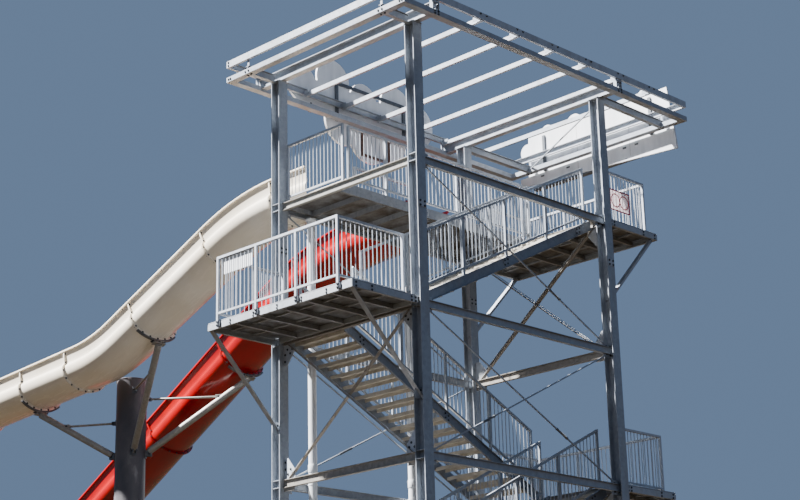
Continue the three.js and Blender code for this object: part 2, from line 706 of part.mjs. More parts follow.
// Slide support: a round column with three braced arms that end in saddles
const saddleOutline = outline([
  ...bothSides(troughHalf(collar + saddleThick)).slice(4, -4),
  ...bothSides(troughHalf(collar + 2 * gap)).slice(4, -4).reverse(),
]);
{
  const tube = new THREE.CylinderGeometry(supportRadius, supportRadius, supportTop - 15, 20);
  tube.rotateX(Math.PI / 2);
  tube.translate(supportX, supportY, (supportTop + 15) / 2);
  const cap = new THREE.CylinderGeometry(supportRadius + 10, supportRadius + 10, 20, 20);
  cap.rotateX(Math.PI / 2);
  cap.translate(supportX, supportY, supportTop);
  const foot = [supportX, supportY, armFoot];
  const parts = [toSolid(tube), toSolid(cap),
    block(supportX - 500, supportX + 500, supportY - 500, supportY + 500, 0, 30)];
  for (const [line, centreY, run, tieHeight] of [
    [whiteLine, -slideY, whiteRuns[3], 12290], [whiteLine, -slideY, whiteRuns[5], 11560],
    [redLine, slideY, redRuns[2], 12120]]) {
    const at = pointAt(line, run);
    const below = (drop) => [-at.along + drop * Math.sin(at.slope), centreY, at.height - drop * Math.cos(at.slope)];
    const saddleFoot = troughDeep + collar + saddleThick;
    const seat = below(saddleFoot + bracketDeep - 25);
    parts.push(roundBar(armRadius, 12, foot, seat));
    parts.push(sweep(saddleOutline, line, run - saddleHalf, run + saddleHalf, centreY));
    parts.push(bar(rectangle(bracketAlong, bracketAcross), below(saddleFoot + bracketDeep), below(saddleFoot - 12),
      [0, 1, 0]));
    const part = (tieHeight - armFoot) / (seat[2] - armFoot);
    const meet = [0, 1, 2].map((axis) => foot[axis] + (seat[axis] - foot[axis]) * part);
    parts.push(roundBar(tieRadius, 8, [supportX, supportY, tieHeight], meet));
  }
  addNode('slide_support', join(parts), greyPaint);
}

// Water pipes: one up to the head of each slide, clipped to the side beams
function makeRiser(name, y, side) {
  const top = deckFloor - deckThick - edgeDepth - 60;
  const parts = [roundBar(riserRadius, 12, [riserX, y, 0], [riserX, y, top])];
  for (let level = 1; level <= storeys; level += 1) {
    const z = beamMid(level) + beamDepth / 2 - 6;
    if (z + 40 > top) continue;
    parts.push(block(-deckX, riserX, y - 30, y + 30, z - 40, z + 6));
  }
  parts.push(block(riserX - riserRadius - 25, riserX + riserRadius + 25, y - riserRadius - 25, y + riserRadius + 25,
    top - 40, top));
  addNode(name, join(parts), side);
}
makeRiser('water_pipe_front', -2170, whitePaint);
makeRiser('water_pipe_rear', 670, whitePaint);

// The front left column's base plate is at the origin
tower.position.set(columnX, columnY, 0);

export default tower;
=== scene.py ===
import bpy
import json
import math
from mathutils import Matrix, Vector


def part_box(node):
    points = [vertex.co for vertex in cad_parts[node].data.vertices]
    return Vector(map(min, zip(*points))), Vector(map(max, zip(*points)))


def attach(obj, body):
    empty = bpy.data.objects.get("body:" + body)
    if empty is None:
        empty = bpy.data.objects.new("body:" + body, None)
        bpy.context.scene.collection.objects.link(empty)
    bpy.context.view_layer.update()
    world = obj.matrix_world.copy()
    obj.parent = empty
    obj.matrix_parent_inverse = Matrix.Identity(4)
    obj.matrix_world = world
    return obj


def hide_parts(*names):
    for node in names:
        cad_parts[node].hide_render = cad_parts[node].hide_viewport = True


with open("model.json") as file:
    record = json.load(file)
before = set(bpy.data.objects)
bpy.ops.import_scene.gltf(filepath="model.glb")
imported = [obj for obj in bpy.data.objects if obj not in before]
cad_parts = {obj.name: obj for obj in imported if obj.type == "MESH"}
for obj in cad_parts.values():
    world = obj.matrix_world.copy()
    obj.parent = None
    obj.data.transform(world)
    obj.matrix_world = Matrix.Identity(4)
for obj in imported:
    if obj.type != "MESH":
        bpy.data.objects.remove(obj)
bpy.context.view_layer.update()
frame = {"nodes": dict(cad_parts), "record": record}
print("tower: frame loaded")

# Plan of the tower, in metres from the middle of its plan; the frame's origin is the front left column
tower = {
    "columnX": 1.98, "columnY": 2.88, "storey": 2.88, "storeys": 5, "columnHalf": 0.12,
    "beamTopBelowFloor": 0.02, "beamDepth": 0.16, "deckThick": 0.03, "edgeDepth": 0.125,
    "landingReach": 4.7, "landingHalf": 2.04, "landingSides": (1, -1, 1, -1, 1),
    "railX": 1.7, "railY": 4.7253, "laneInner": 0.09, "laneOuter": 1.69, "risers": 17,
    "slideY": 1.6, "roofX": 2.64, "roofFront": -3.78, "roofRear": 5.33,
}
shaping = {
    "edge": 0.002, "flatAngle": 30, "roundAngle": 35,    # degrees between faces that still shade as one
    "boltSides": 6, "boltRadius": 0.58, "boltDeep": 0.5, "boltUp": 0.35,       # shares of the bolt's size
    "washerSides": 10, "washerRadius": 0.85, "washerDeep": 0.14, "washerUp": 0.07,
}


def at(x, y, z):
    return Vector((x + tower["columnX"], y + tower["columnY"], z))


def up(z):
    return Vector((0, 0, z))


# Small helpers for pieces
def deselectAll():
    if bpy.context.mode != "OBJECT":
        bpy.ops.object.mode_set(mode="OBJECT")
    bpy.ops.object.select_all(action="DESELECT")


def pick(pieces):
    deselectAll()
    for piece in pieces:
        piece.select_set(True)
    bpy.context.view_layer.objects.active = pieces[0]


def settle(piece):
    pick([piece])
    bpy.ops.object.transform_apply(location=True, rotation=True, scale=True)


def joined(pieces, name):
    pick(pieces)
    if len(pieces) > 1:
        bpy.ops.object.join()
    piece = bpy.context.view_layer.objects.active
    piece.name = name
    piece.data.name = name
    settle(piece)
    return piece


def finished(pieces, name, material, smooth=None, replaced=()):
    piece = joined(pieces, name)
    piece.data.materials.clear()
    piece.data.materials.append(material)
    for polygon in piece.data.polygons:
        polygon.material_index = 0
    if smooth is not None:
        pick([piece])
        bpy.ops.object.shade_smooth_by_angle(angle=math.radians(smooth))
    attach(piece, "root")
    if replaced:
        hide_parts(*replaced)
    return piece


def applied(piece):
    pick([piece])
    for modifier in list(piece.modifiers):
        bpy.ops.object.modifier_apply(modifier=modifier.name)
    return piece


def bevelled(piece, width, segments):
    bevel = piece.modifiers.new("edge", "BEVEL")
    bevel.width = width
    bevel.segments = segments
    bevel.limit_method = "ANGLE"
    return applied(piece)


def copied(piece, matrices):
    copies = []
    for matrix in matrices:
        twin = piece.copy()
        twin.data = piece.data.copy()
        twin.data.transform(matrix)
        bpy.context.scene.collection.objects.link(twin)
        copies.append(twin)
    bpy.data.objects.remove(piece)
    return copies


def axesMatrix(first, second, third):
    return Matrix((first, second, third)).transposed()


def facingMatrix(direction):
    return Vector(direction).to_track_quat("Z", "Y").to_matrix().to_4x4()


# A bar or plate with softened edges, centred at a point
def bar(centre, size, edge=0.003, turn=None):
    deselectAll()
    bpy.ops.mesh.primitive_cube_add(size=1, location=(0, 0, 0))
    piece = bpy.context.object
    piece.scale = size
    settle(piece)
    if edge:
        bevelled(piece, edge, 1)
    place = Matrix.Translation(centre)
    if turn is not None:
        place = place @ turn.to_4x4()
    piece.data.transform(place)
    return piece


# The same between two corners, given from the middle of the tower's plan
def spanBar(low, high, edge=shaping["edge"]):
    low, high = at(*low), at(*high)
    return bar((low + high) / 2, [abs(b - a) for a, b in zip(low, high)], edge)


# A round bar between two points
def rod(start, end, radius, sides=12, edge=0.0):
    start, end = Vector(start), Vector(end)
    along = end - start
    deselectAll()
    bpy.ops.mesh.primitive_cylinder_add(vertices=sides, radius=radius, depth=along.length, location=(0, 0, 0))
    piece = bpy.context.object
    if edge:
        bevelled(piece, edge, 2)
    piece.data.transform(Matrix.Translation((start + end) / 2) @ facingMatrix(along))
    return piece


# A flat plate of any outline: a filled circle whose points are moved to it, then extruded
def plate(points, thick, place):
    deselectAll()
    bpy.ops.mesh.primitive_circle_add(vertices=len(points), radius=1, fill_type="NGON")
    piece = bpy.context.object
    for vertex, (across, height) in zip(piece.data.vertices, points):
        vertex.co = (across, height, -thick / 2)
    bpy.ops.object.mode_set(mode="EDIT")
    bpy.ops.mesh.select_all(action="SELECT")
    bpy.ops.mesh.normals_make_consistent(inside=False)
    bpy.ops.mesh.extrude_region_move(TRANSFORM_OT_translate={"value": (0, 0, thick)})
    bpy.ops.mesh.select_all(action="SELECT")
    bpy.ops.mesh.normals_make_consistent(inside=False)
    bpy.ops.object.mode_set(mode="OBJECT")
    piece.data.transform(place)
    return piece


# A hexagon bolt head on a washer, standing along +Z from the surface
def boltHead(size):
    s = shaping
    deselectAll()
    bpy.ops.mesh.primitive_cylinder_add(vertices=s["boltSides"], radius=size * s["boltRadius"],
                                        depth=size * s["boltDeep"], location=(0, 0, size * s["boltUp"]))
    head = bpy.context.object
    bpy.ops.mesh.primitive_cylinder_add(vertices=s["washerSides"], radius=size * s["washerRadius"],
                                        depth=size * s["washerDeep"], location=(0, 0, size * s["washerUp"]))
    return joined([head, bpy.context.object], "bolt")


def boltsAt(name, places, size):
    matrices = [Matrix.Translation(point) @ facingMatrix(facing) for point, facing in places]
    return finished(copied(boltHead(size), matrices), name, boltSteel)


# Materials
# An sRGB hex code turned to linear, or a plain number as a linear grey
def tone(value):
    if not isinstance(value, str):
        return (value, value, value, 1.0)
    parts = [int(value[i:i + 2], 16) / 255 for i in (1, 3, 5)]
    return [v / 12.92 if v <= 0.04045 else ((v + 0.055) / 1.055) ** 2.4 for v in parts] + [1.0]


def perMetre(millimetres):
    return 1000 / millimetres


def addNode(tree, kind, inputs=None, stops=(), **settings):
    node = tree.nodes.new(kind)
    for key, value in settings.items():
        setattr(node, key, value)
    for key, value in (inputs or {}).items():
        if isinstance(value, bpy.types.Node):            # a node stands for its first output
            value = value.outputs[0]
        if isinstance(value, bpy.types.NodeSocket):
            tree.links.new(value, node.inputs[key])
        else:
            node.inputs[key].default_value = value
    if stops:
        elements = node.color_ramp.elements
        while len(elements) < len(stops):
            elements.new(0.5)
        for element, (position, value) in zip(elements, stops):
            element.position = position
            element.color = tone(value)
    return node


def newMaterial(name):
    material = bpy.data.materials.new(name)
    material.use_nodes = True
    tree = material.node_tree
    tree.nodes.clear()
    return material, tree, addNode(tree, "ShaderNodeTexCoord").outputs["Object"]


shading = {"coatRoughness": 0.08, "bumpStrength": 0.6}


def closeMaterial(material, tree, colour, roughness, metallic=0.0, bump=None, bumpDepth=0.001, coat=0.0):
    shader = addNode(tree, "ShaderNodeBsdfPrincipled", {
        "Base Color": colour, "Roughness": roughness, "Metallic": metallic})
    if coat:
        shader.inputs["Coat Weight"].default_value = coat
        shader.inputs["Coat Roughness"].default_value = shading["coatRoughness"]
    if bump is not None:
        normal = addNode(tree, "ShaderNodeBump", {
            "Height": bump, "Distance": bumpDepth, "Strength": shading["bumpStrength"]})
        tree.links.new(normal.outputs["Normal"], shader.inputs["Normal"])
    addNode(tree, "ShaderNodeOutputMaterial", {"Surface": shader})
    return material


# Hot-dip galvanised steel: crystals of zinc give a faint mottling, drawn at 60 mm so that it shows,
# rain leaves dull runs down it, and faces turned downwards are painted brown: partly real grime, partly
# painted shade
galvanised = {
    "run": "#8d8c8a", "spangleMm": 60, "runMm": 233.3, "runStretch": (1, 1, 0.25), "patchMm": 312.5,
    "fineMm": 45.45, "runStops": ((0.5, 0.0), (0.75, 0.5)), "patchStops": ((0.35, 0.55), (0.6, 1.0)),
    "roughStops": ((0.3, 0.42), (0.7, 0.6)), "metallic": 0.3, "underFrom": -0.35, "underTo": -0.9,
}
zincLooks = {                                            # name, share of grime and painted shade below, light, dark, colour of grime and painted shade
    "plain": ("galvanisedSteel", 0.75, "#adb2b8", "#9ca2a9", "#75695a"),       # even, cool mid grey
    "bright": ("brightZinc", 0.6, "#b9bec5", "#abb1b9", "#75695a"),            # washed by rain, pale
    "column": ("columnZinc", 0.6, "#a2a8b0", "#8f969f", "#75695a"),            # thick rolled steel, duller
    "roof": ("roofZinc", 0.7, "#a5abb3", "#959ba4", "#75695a"),                # between the two; its darker tone is painted shade for the main frame's shaded webs
    "weathered": ("weatheredZinc", 0.5, "#a6a49e", "#8f8d87", "#75695a"),      # old zinc turned warm grey
    "stained": ("stainedZinc", 0.6, "#9d978f", "#858079", "#75695a"),          # brown stains of dried rain
    "stringer": ("dullStringerZinc", 0.55, "#868d97", "#747b86", "#75695a"),   # blue grey, scuffed by feet
    "dark": ("darkenedZinc", 0.4, "#5d6269", "#4b5057", "#75695a"),            # near black fittings
    "deck": ("deckSteelGrimeAndShadeBelow", 1.0, "#9a9da1", "#84878c", "#3f362c"),        # sheets; dark brown underneath, partly grime, partly painted shade
    "rusty": ("rustySteel", 0.5, "#6a4a3c", "#523a31", "#75695a"),             # bare steel, red brown rust
    "joist": ("dullJoistZinc", 0.8, "#9fa2a6", "#8a8d92", "#6b6257"),          # joists; darker underneath, partly grime, partly painted shade
}


def makeGalvanised(name, grimeAndShadeShare, light, dark, grimeAndShade):
    g = galvanised
    material, tree, place = newMaterial(name)
    cells = addNode(tree, "ShaderNodeTexVoronoi", {"Vector": place, "Scale": perMetre(g["spangleMm"])})
    spangle = addNode(tree, "ShaderNodeValToRGB", {
        "Fac": cells.outputs["Color"]}, [(0.0, dark), (1.0, light)])
    upright = addNode(tree, "ShaderNodeMapping", {"Vector": place, "Scale": g["runStretch"]})
    runs = addNode(tree, "ShaderNodeTexNoise", {
        "Vector": upright, "Scale": perMetre(g["runMm"]), "Detail": 5.0})
    runMask = addNode(tree, "ShaderNodeValToRGB", {"Fac": runs}, g["runStops"])
    clean = addNode(tree, "ShaderNodeMix", {0: runMask, 6: spangle, 7: tone(g["run"])}, data_type="RGBA")
    # Faces turned downwards take the brown colour: partly real grime, partly painted shade under the parts
    facing = addNode(tree, "ShaderNodeNewGeometry").outputs["Normal"]
    upward = addNode(tree, "ShaderNodeSeparateXYZ", {"Vector": facing}).outputs["Z"]
    under = addNode(tree, "ShaderNodeMapRange", {
        "Value": upward, "From Min": g["underFrom"], "From Max": g["underTo"], "To Min": 0.0,
        "To Max": grimeAndShadeShare})
    patches = addNode(tree, "ShaderNodeTexNoise", {
        "Vector": place, "Scale": perMetre(g["patchMm"]), "Detail": 6.0})
    spread = addNode(tree, "ShaderNodeValToRGB", {"Fac": patches}, g["patchStops"])
    amount = addNode(tree, "ShaderNodeMath", {0: under, 1: spread}, operation="MULTIPLY")
    colour = addNode(tree, "ShaderNodeMix", {
        0: amount, 6: clean.outputs[2], 7: tone(grimeAndShade)}, data_type="RGBA")
    fine = addNode(tree, "ShaderNodeTexNoise", {
        "Vector": place, "Scale": perMetre(g["fineMm"]), "Detail": 3.0})
    roughness = addNode(tree, "ShaderNodeValToRGB", {"Fac": fine}, g["roughStops"])
    return closeMaterial(material, tree, colour.outputs[2], roughness, g["metallic"], fine)


# Tread plate, galvanised and walked on: matt beige dust over dull zinc, with a fine grit that catches light
treads = {
    "light": "#c6bfb1", "dark": "#a0998d", "dustMm": 260, "gritMm": 33.33, "gritDeep": 0.002,
    "roughStops": ((0.3, 0.55), (0.7, 0.8)), "metallic": 0.1,
}


def makeTread():
    t = treads
    material, tree, place = newMaterial("dustyTreadPlate")
    dust = addNode(tree, "ShaderNodeTexNoise", {
        "Vector": place, "Scale": perMetre(t["dustMm"]), "Detail": 6.0})
    colour = addNode(tree, "ShaderNodeValToRGB", {"Fac": dust}, [(0.3, t["dark"]), (0.7, t["light"])])
    roughness = addNode(tree, "ShaderNodeValToRGB", {"Fac": dust}, t["roughStops"])
    grit = addNode(tree, "ShaderNodeTexVoronoi", {"Vector": place, "Scale": perMetre(t["gritMm"])})
    return closeMaterial(material, tree, colour, roughness, t["metallic"], grit, t["gritDeep"])


# Gelcoat on moulded fibreglass: a clear gloss over one colour, faint dull streaks along the fall where
# water ran, and a slight ripple from the mould that bends the highlights
gelcoat = {
    "wideMm": 1111, "streakMm": 625, "streakStretch": (1.5, 9, 1.5), "rippleMm": 400, "rippleDeep": 0.004,
    "streakStops": ((0.55, 0.0), (0.8, 0.4)), "coat": 0.35,
}
gelcoatLooks = {                                         # name, light, dark, streak, roughness from and to
    "white": ("creamGelcoat", "#f0e7d7", "#e7dbc7", "#d3c5ae", 0.2, 0.34),
    "red": ("redGelcoat", "#a40309", "#8a0206", "#74070c", 0.16, 0.3),
}


def makeGelcoat(name, light, dark, streak, roughLow, roughHigh):
    g = gelcoat
    material, tree, place = newMaterial(name)
    wide = addNode(tree, "ShaderNodeTexNoise", {
        "Vector": place, "Scale": perMetre(g["wideMm"]), "Detail": 4.0})
    base = addNode(tree, "ShaderNodeValToRGB", {"Fac": wide}, [(0.35, dark), (0.65, light)])
    along = addNode(tree, "ShaderNodeMapping", {"Vector": place, "Scale": g["streakStretch"]})
    lines = addNode(tree, "ShaderNodeTexNoise", {
        "Vector": along, "Scale": perMetre(g["streakMm"]), "Detail": 6.0})
    mask = addNode(tree, "ShaderNodeValToRGB", {"Fac": lines}, g["streakStops"])
    colour = addNode(tree, "ShaderNodeMix", {0: mask, 6: base, 7: tone(streak)}, data_type="RGBA")
    roughness = addNode(tree, "ShaderNodeValToRGB", {"Fac": lines}, [(0.3, roughLow), (0.8, roughHigh)])
    ripple = addNode(tree, "ShaderNodeTexNoise", {
        "Vector": place, "Scale": perMetre(g["rippleMm"]), "Detail": 1.0})
    return closeMaterial(
        material, tree, colour.outputs[2], roughness, 0.0, ripple, g["rippleDeep"], g["coat"])


# Dark grey paint on rolled steel, chalked by the sun and scuffed: paler patches where it has worn thin
chalkedPaint = {
    "patchMm": 700, "stretch": (1, 1, 0.45), "broken": 0.62, "metallic": 0.1,
    "stops": ((0.42, "#454347"), (0.6, "#5c595c"), (0.7, "#8f8c8d")),
    "roughStops": ((0.4, 0.4), (0.7, 0.7)),
}


def makeChalkedPaint():
    c = chalkedPaint
    material, tree, place = newMaterial("chalkedGreyPaint")
    upright = addNode(tree, "ShaderNodeMapping", {"Vector": place, "Scale": c["stretch"]})
    patches = addNode(tree, "ShaderNodeTexNoise", {
        "Vector": upright, "Scale": perMetre(c["patchMm"]), "Detail": 7.0, "Roughness": c["broken"]})
    colour = addNode(tree, "ShaderNodeValToRGB", {"Fac": patches}, c["stops"])
    roughness = addNode(tree, "ShaderNodeValToRGB", {"Fac": patches}, c["roughStops"])
    return closeMaterial(material, tree, colour, roughness, c["metallic"], patches)


# Smooth coats: satin paint on sheet steel, white pressure pipe of extruded plastic, red enamel; each an even
# colour with faint upright marks where rain ran and dried
smoothCoat = {"markMm": 454.5, "stretch": (2, 2, 0.4), "from": 0.4, "to": 0.8, "rougher": 0.15}


def makeSmoothCoat(name, light, dark, roughness):
    c = smoothCoat
    material, tree, place = newMaterial(name)
    upright = addNode(tree, "ShaderNodeMapping", {"Vector": place, "Scale": c["stretch"]})
    marks = addNode(tree, "ShaderNodeTexNoise", {
        "Vector": upright, "Scale": perMetre(c["markMm"]), "Detail": 5.0})
    colour = addNode(tree, "ShaderNodeValToRGB", {"Fac": marks}, [(c["from"], light), (c["to"], dark)])
    rough = addNode(tree, "ShaderNodeValToRGB", {"Fac": marks}, [
        (c["from"], roughness), (c["to"], roughness + c["rougher"])])
    return closeMaterial(material, tree, colour, rough, 0.0, marks)


# Thin white plastic sheet: light from behind glows through it, so it stays pale on its shaded side
thinPlastic = {"cloudMm": 250, "light": "#f0e9ea", "dark": "#e2d8da", "through": 0.6}


def makeThinPlastic():
    material, tree, place = newMaterial("thinWhitePlastic")
    cloud = addNode(tree, "ShaderNodeTexNoise", {
        "Vector": place, "Scale": perMetre(thinPlastic["cloudMm"]), "Detail": 3.0})
    colour = addNode(tree, "ShaderNodeValToRGB", {"Fac": cloud}, [
        (0.3, thinPlastic["light"]), (0.7, thinPlastic["dark"])])
    front = addNode(tree, "ShaderNodeBsdfDiffuse", {"Color": colour})
    through = addNode(tree, "ShaderNodeBsdfTranslucent", {"Color": colour})
    both = addNode(tree, "ShaderNodeMixShader", {0: thinPlastic["through"], 1: front, 2: through})
    addNode(tree, "ShaderNodeOutputMaterial", {"Surface": both})
    return material


# Blackened steel of bolt heads: dark, half gloss, rubbed paler in small spots by the spanner
blackened = {"wearMm": 16.67, "stops": ((0.4, "#2b2d30"), (0.7, "#55585c")),
             "roughStops": ((0.3, 0.4), (0.7, 0.6)), "metallic": 0.6}


def makeBlackened():
    b = blackened
    material, tree, place = newMaterial("blackenedBoltSteel")
    wear = addNode(tree, "ShaderNodeTexNoise", {
        "Vector": place, "Scale": perMetre(b["wearMm"]), "Detail": 2.0})
    colour = addNode(tree, "ShaderNodeValToRGB", {"Fac": wear}, b["stops"])
    roughness = addNode(tree, "ShaderNodeValToRGB", {"Fac": wear}, b["roughStops"])
    return closeMaterial(material, tree, colour, roughness, b["metallic"])


zinc = {key: makeGalvanised(*look) for key, look in zincLooks.items()}
treadPlate = makeTread()
flume = {colour: makeGelcoat(*look) for colour, look in gelcoatLooks.items()}
supportPaint = makeChalkedPaint()
signPaint = makeSmoothCoat("satinWhitePaint", "#e9eaec", "#cfd1d4", 0.35)
thinSheet = makeThinPlastic()
pipePlastic = makeSmoothCoat("whitePressurePipe", "#dfe1e3", "#c5c7ca", 0.4)
redPaint = makeSmoothCoat("redEnamel", "#c2262c", "#a31d24", 0.3)
boltSteel = makeBlackened()
slotMaterials = {
    "galvanised_steel": zinc["plain"], "stair_treads": treadPlate, "sign_white": signPaint,
    "white_flume": flume["white"], "red_flume": flume["red"], "support_grey": supportPaint,
    "pipe_white": pipePlastic,
}
nodeLooks = [                                            # the first look whose words are in the node's name
    (("roof_main",), zinc["roof"]), (("roof_", "landing_rail", "deck_rail"), zinc["bright"]),
    (("column_", "stair_rail"), zinc["column"]), (("front_frame", "rear_frame"), zinc["stained"]),
    (("right_frame", "left_frame"), zinc["column"]), (("front_deck_beam",), zinc["weathered"]),
    (("top_deck",), zinc["deck"]),
]
for subpart in frame["record"]["subparts"]:
    body = frame["nodes"][subpart["node"]]
    body.data.materials.clear()
    chosen = next((look for words, look in nodeLooks if any(word in subpart["node"] for word in words)),
                  slotMaterials[subpart["material_slot"]])
    body.data.materials.append(chosen)
print("tower: materials made")

# Slides: a thin shell with a rolled lip and a recessed neck swept along the fall, and flanged joints
# with bolts; the points of lip and neck are distances from the middle and heights
slides = {
    "wallThick": 0.012, "neckHalf": 0.562, "neckDrop": 0.33, "bellyHalf": 0.612, "bellyDrop": 0.46,
    "deep": 0.9, "bellySteps": 14, "headStart": 1.935, "rim": 15.408, "rise": 0.128, "stationStep": 0.22,
    "jointGap": 0.002, "lipUnder": (0.632, -0.042),
    "lip": ((0.638, -0.039), (0.64, -0.03), (0.64, -0.01), (0.636, -0.003), (0.626, 0.0), (0.594, 0.0),
            (0.588, -0.01)),
    "neck": ((0.6, -0.042), (0.588, -0.09), (0.573, -0.16), (0.559, -0.24), (0.552, -0.3),
             (0.555, -0.332), (0.567, -0.353), (0.588, -0.373), (0.604, -0.4), (0.611, -0.432)),
    "flangeWide": 0.06, "flangeThick": 0.017, "flangeLap": 0.004, "boltSize": 0.03, "boltPitch": 0.21,
    "boltReach": 0.034, "boltFromTop": 0.08, "boltLineSteps": 40, "footAt": 0.045, "footThick": 0.084,
    "footHalf": 0.4, "footWide": 0.43, "clear": 0.0003, "longest": 20.0, "halvings": 40,
}
# The course of each slide: a bend is degrees and radius, a straight run its length
slideRuns = {
    "white": {"side": -1, "slot": "white_flume",
              "course": [("straight", 0.885), (22.7, 6.54), ("straight", 3.78), (-18.9, 4.32),
                         ("straight", 5.6)],
              "joints": [1.935, 3.08, 5.462, 8.07, 10.573, 12.444, 14.96],
              "lengths": [(0, 3), (3, 5), (5, 6)]},
    "red": {"side": 1, "slot": "red_flume",
            "course": [("straight", 1.45), (29.3, 7.34), ("straight", 8.9)],
            "joints": [1.935, 5.9, 8.723, 11.49, 14.6], "lengths": [(0, 2), (2, 3), (3, 4)]},
}


# Where the rim line is after a length of it: distance from the tower, height and slope
def rimAt(course, run):
    along, height, slope = slides["headStart"], slides["rim"], 0.0
    for kind, value in course:
        turn = 0.0 if kind == "straight" else math.radians(kind)
        full = value if kind == "straight" else abs(turn) * value
        step = min(run, full)
        if kind == "straight":
            along += step * math.cos(slope)
            height -= step * math.sin(slope)
        else:
            radius = math.copysign(value, turn)
            bent = slope + step / radius
            along += radius * (math.sin(bent) - math.sin(slope))
            height -= radius * (math.cos(slope) - math.cos(bent))
            slope = bent
        run -= step
        if run <= 0:
            break
    return along, height, slope


def runTo(course, target):
    low, high = 0.0, slides["longest"]
    for _ in range(slides["halvings"]):
        middle = (low + high) / 2
        if rimAt(course, middle)[0] < target:
            low = middle
        else:
            high = middle
    return low


# The axes of a cut across the slide: across is Y, upward leans with the slope, forward points down the fall
def slidePlace(settings, run):
    along, height, slope = rimAt(settings["course"], run)
    across = Vector((0, 1, 0))
    upward = Vector((-math.sin(slope), 0, math.cos(slope)))
    origin = at(-along, settings["side"] * tower["slideY"], height)
    return axesMatrix(across, upward, across.cross(upward)), origin


def slideMatrix(settings, run):
    axes, origin = slidePlace(settings, run)
    return Matrix.Translation(origin) @ axes.to_4x4()


# Half of the shell's outline from the lip's edge to the middle of the bottom, grown outwards
def shellHalf(grow, steps=slides["bellySteps"]):
    s = slides
    points = [(half + grow, height) for half, height in s["neck"]]
    for i in range(steps + 1):
        turn = math.pi / 2 * i / steps
        points.append(((s["bellyHalf"] + grow) * math.cos(turn),
                       -s["bellyDrop"] - (s["deep"] - s["bellyDrop"] + grow) * math.sin(turn)))
    return points


def withMirror(points):
    return points + [(-across, height) for across, height in reversed(points[:-1])]


def shellOutline():
    outer = [slides["lipUnder"]] + shellHalf(0)
    inner = list(slides["lip"]) + shellHalf(-slides["wallThick"])
    return withMirror(outer) + list(reversed(withMirror(inner)))


# A shell length: a cylinder whose rings are moved to the outline at each station
def sweep(outline, places):
    ring, steps = len(outline), len(places) - 1
    deselectAll()
    bpy.ops.mesh.primitive_cylinder_add(vertices=ring, radius=1, depth=1, end_fill_type="NGON")
    piece = bpy.context.object
    bpy.ops.object.mode_set(mode="EDIT")
    for k in range(1, steps):
        bpy.ops.mesh.select_all(action="SELECT")
        bpy.ops.mesh.bisect(plane_co=(0, 0, -0.5 + k / steps), plane_no=(0, 0, 1))
    bpy.ops.object.mode_set(mode="OBJECT")
    for vertex in piece.data.vertices:
        turn = math.atan2(vertex.co.x, vertex.co.y) % (2 * math.pi)
        across, height = outline[round(turn / (2 * math.pi) * ring) % ring]
        axes, origin = places[round((vertex.co.z + 0.5) * steps)]
        vertex.co = axes @ Vector((across, height, 0)) + origin
    bpy.ops.object.mode_set(mode="EDIT")
    bpy.ops.mesh.select_all(action="SELECT")
    bpy.ops.mesh.normals_make_consistent(inside=False)
    bpy.ops.object.mode_set(mode="OBJECT")
    return piece


def stations(settings, start, end):
    count = max(2, round((end - start) / slides["stationStep"]))
    return [slidePlace(settings, start + (end - start) * k / count) for k in range(count + 1)]


def flangeHalf(grow, steps=slides["bellySteps"]):
    limit = slides["neckHalf"] + grow
    return [(min(across, limit) if height > -slides["neckDrop"] else across, height)
            for across, height in shellHalf(grow, steps)]


def flangeOutline():
    inner = withMirror(shellHalf(-slides["flangeLap"]))
    return withMirror(flangeHalf(slides["flangeWide"])) + list(reversed(inner))


# Evenly spaced points along the flange's middle line, with the distance from the lip
def flangeBolts():
    s = slides
    line = withMirror([point for point in flangeHalf(s["boltReach"], s["boltLineSteps"])
                       if point[1] < -s["boltFromTop"]])
    lengths = [0.0]
    for (ax, ay), (bx, by) in zip(line, line[1:]):
        lengths.append(lengths[-1] + math.hypot(bx - ax, by - ay))
    count = round(lengths[-1] / s["boltPitch"])
    points = []
    for k in range(count + 1):
        goal = lengths[-1] * k / count
        i = next((n for n in range(1, len(lengths)) if lengths[n] >= goal - 1e-9), len(lengths) - 1)
        t = (goal - lengths[i - 1]) / (lengths[i] - lengths[i - 1])
        points.append([a + (b - a) * t for a, b in zip(line[i - 1], line[i])])
    return points


# The web under the slide's head, down to the deck
def headFoot(settings):
    s = slides
    head = [point for point in shellHalf(-s["flangeLap"])
            if point[1] < -s["bellyDrop"] and point[0] < s["footWide"]]
    foot = -s["deep"] - s["rise"] + s["clear"]
    return plate(withMirror(head) + [(-s["footHalf"], foot), (s["footHalf"], foot)], s["footThick"],
                 slideMatrix(settings, s["footAt"]))


def makeSlide(colour):
    s, settings = slides, slideRuns[colour]
    gap, thick = s["jointGap"], s["flangeThick"]
    runs = [runTo(settings["course"], joint) for joint in settings["joints"]]
    bolts = []
    for number, (first, last) in enumerate(settings["lengths"], 1):
        parts = []
        for k in range(first, last):
            start, end = runs[k] + (gap if k else 0), runs[k + 1] - gap
            parts.append(sweep(shellOutline(), stations(settings, start, end)))
            for run in (start + thick / 2, end - thick / 2)[0 if k else 1:]:
                parts.append(plate(flangeOutline(), thick, slideMatrix(settings, run)))
        if first == 0:
            parts.append(headFoot(settings))
        finished(parts, f"{colour}SlideLength{number}", flume[colour], shaping["roundAngle"],
                 [f"{colour}_slide_{number}"])
    for run in runs[1:]:
        axes, origin = slidePlace(settings, run)
        for across, height in flangeBolts():
            for facing in (-1,) if run == runs[-1] else (-1, 1):
                point = origin + axes @ Vector((across, height, facing * (gap + thick)))
                bolts.append((point, axes @ Vector((0, 0, facing))))
    boltsAt(f"{colour}SlideBolts", bolts, s["boltSize"])
    return runs


jointRuns = {colour: makeSlide(colour) for colour in slideRuns}
print("tower: slides made")

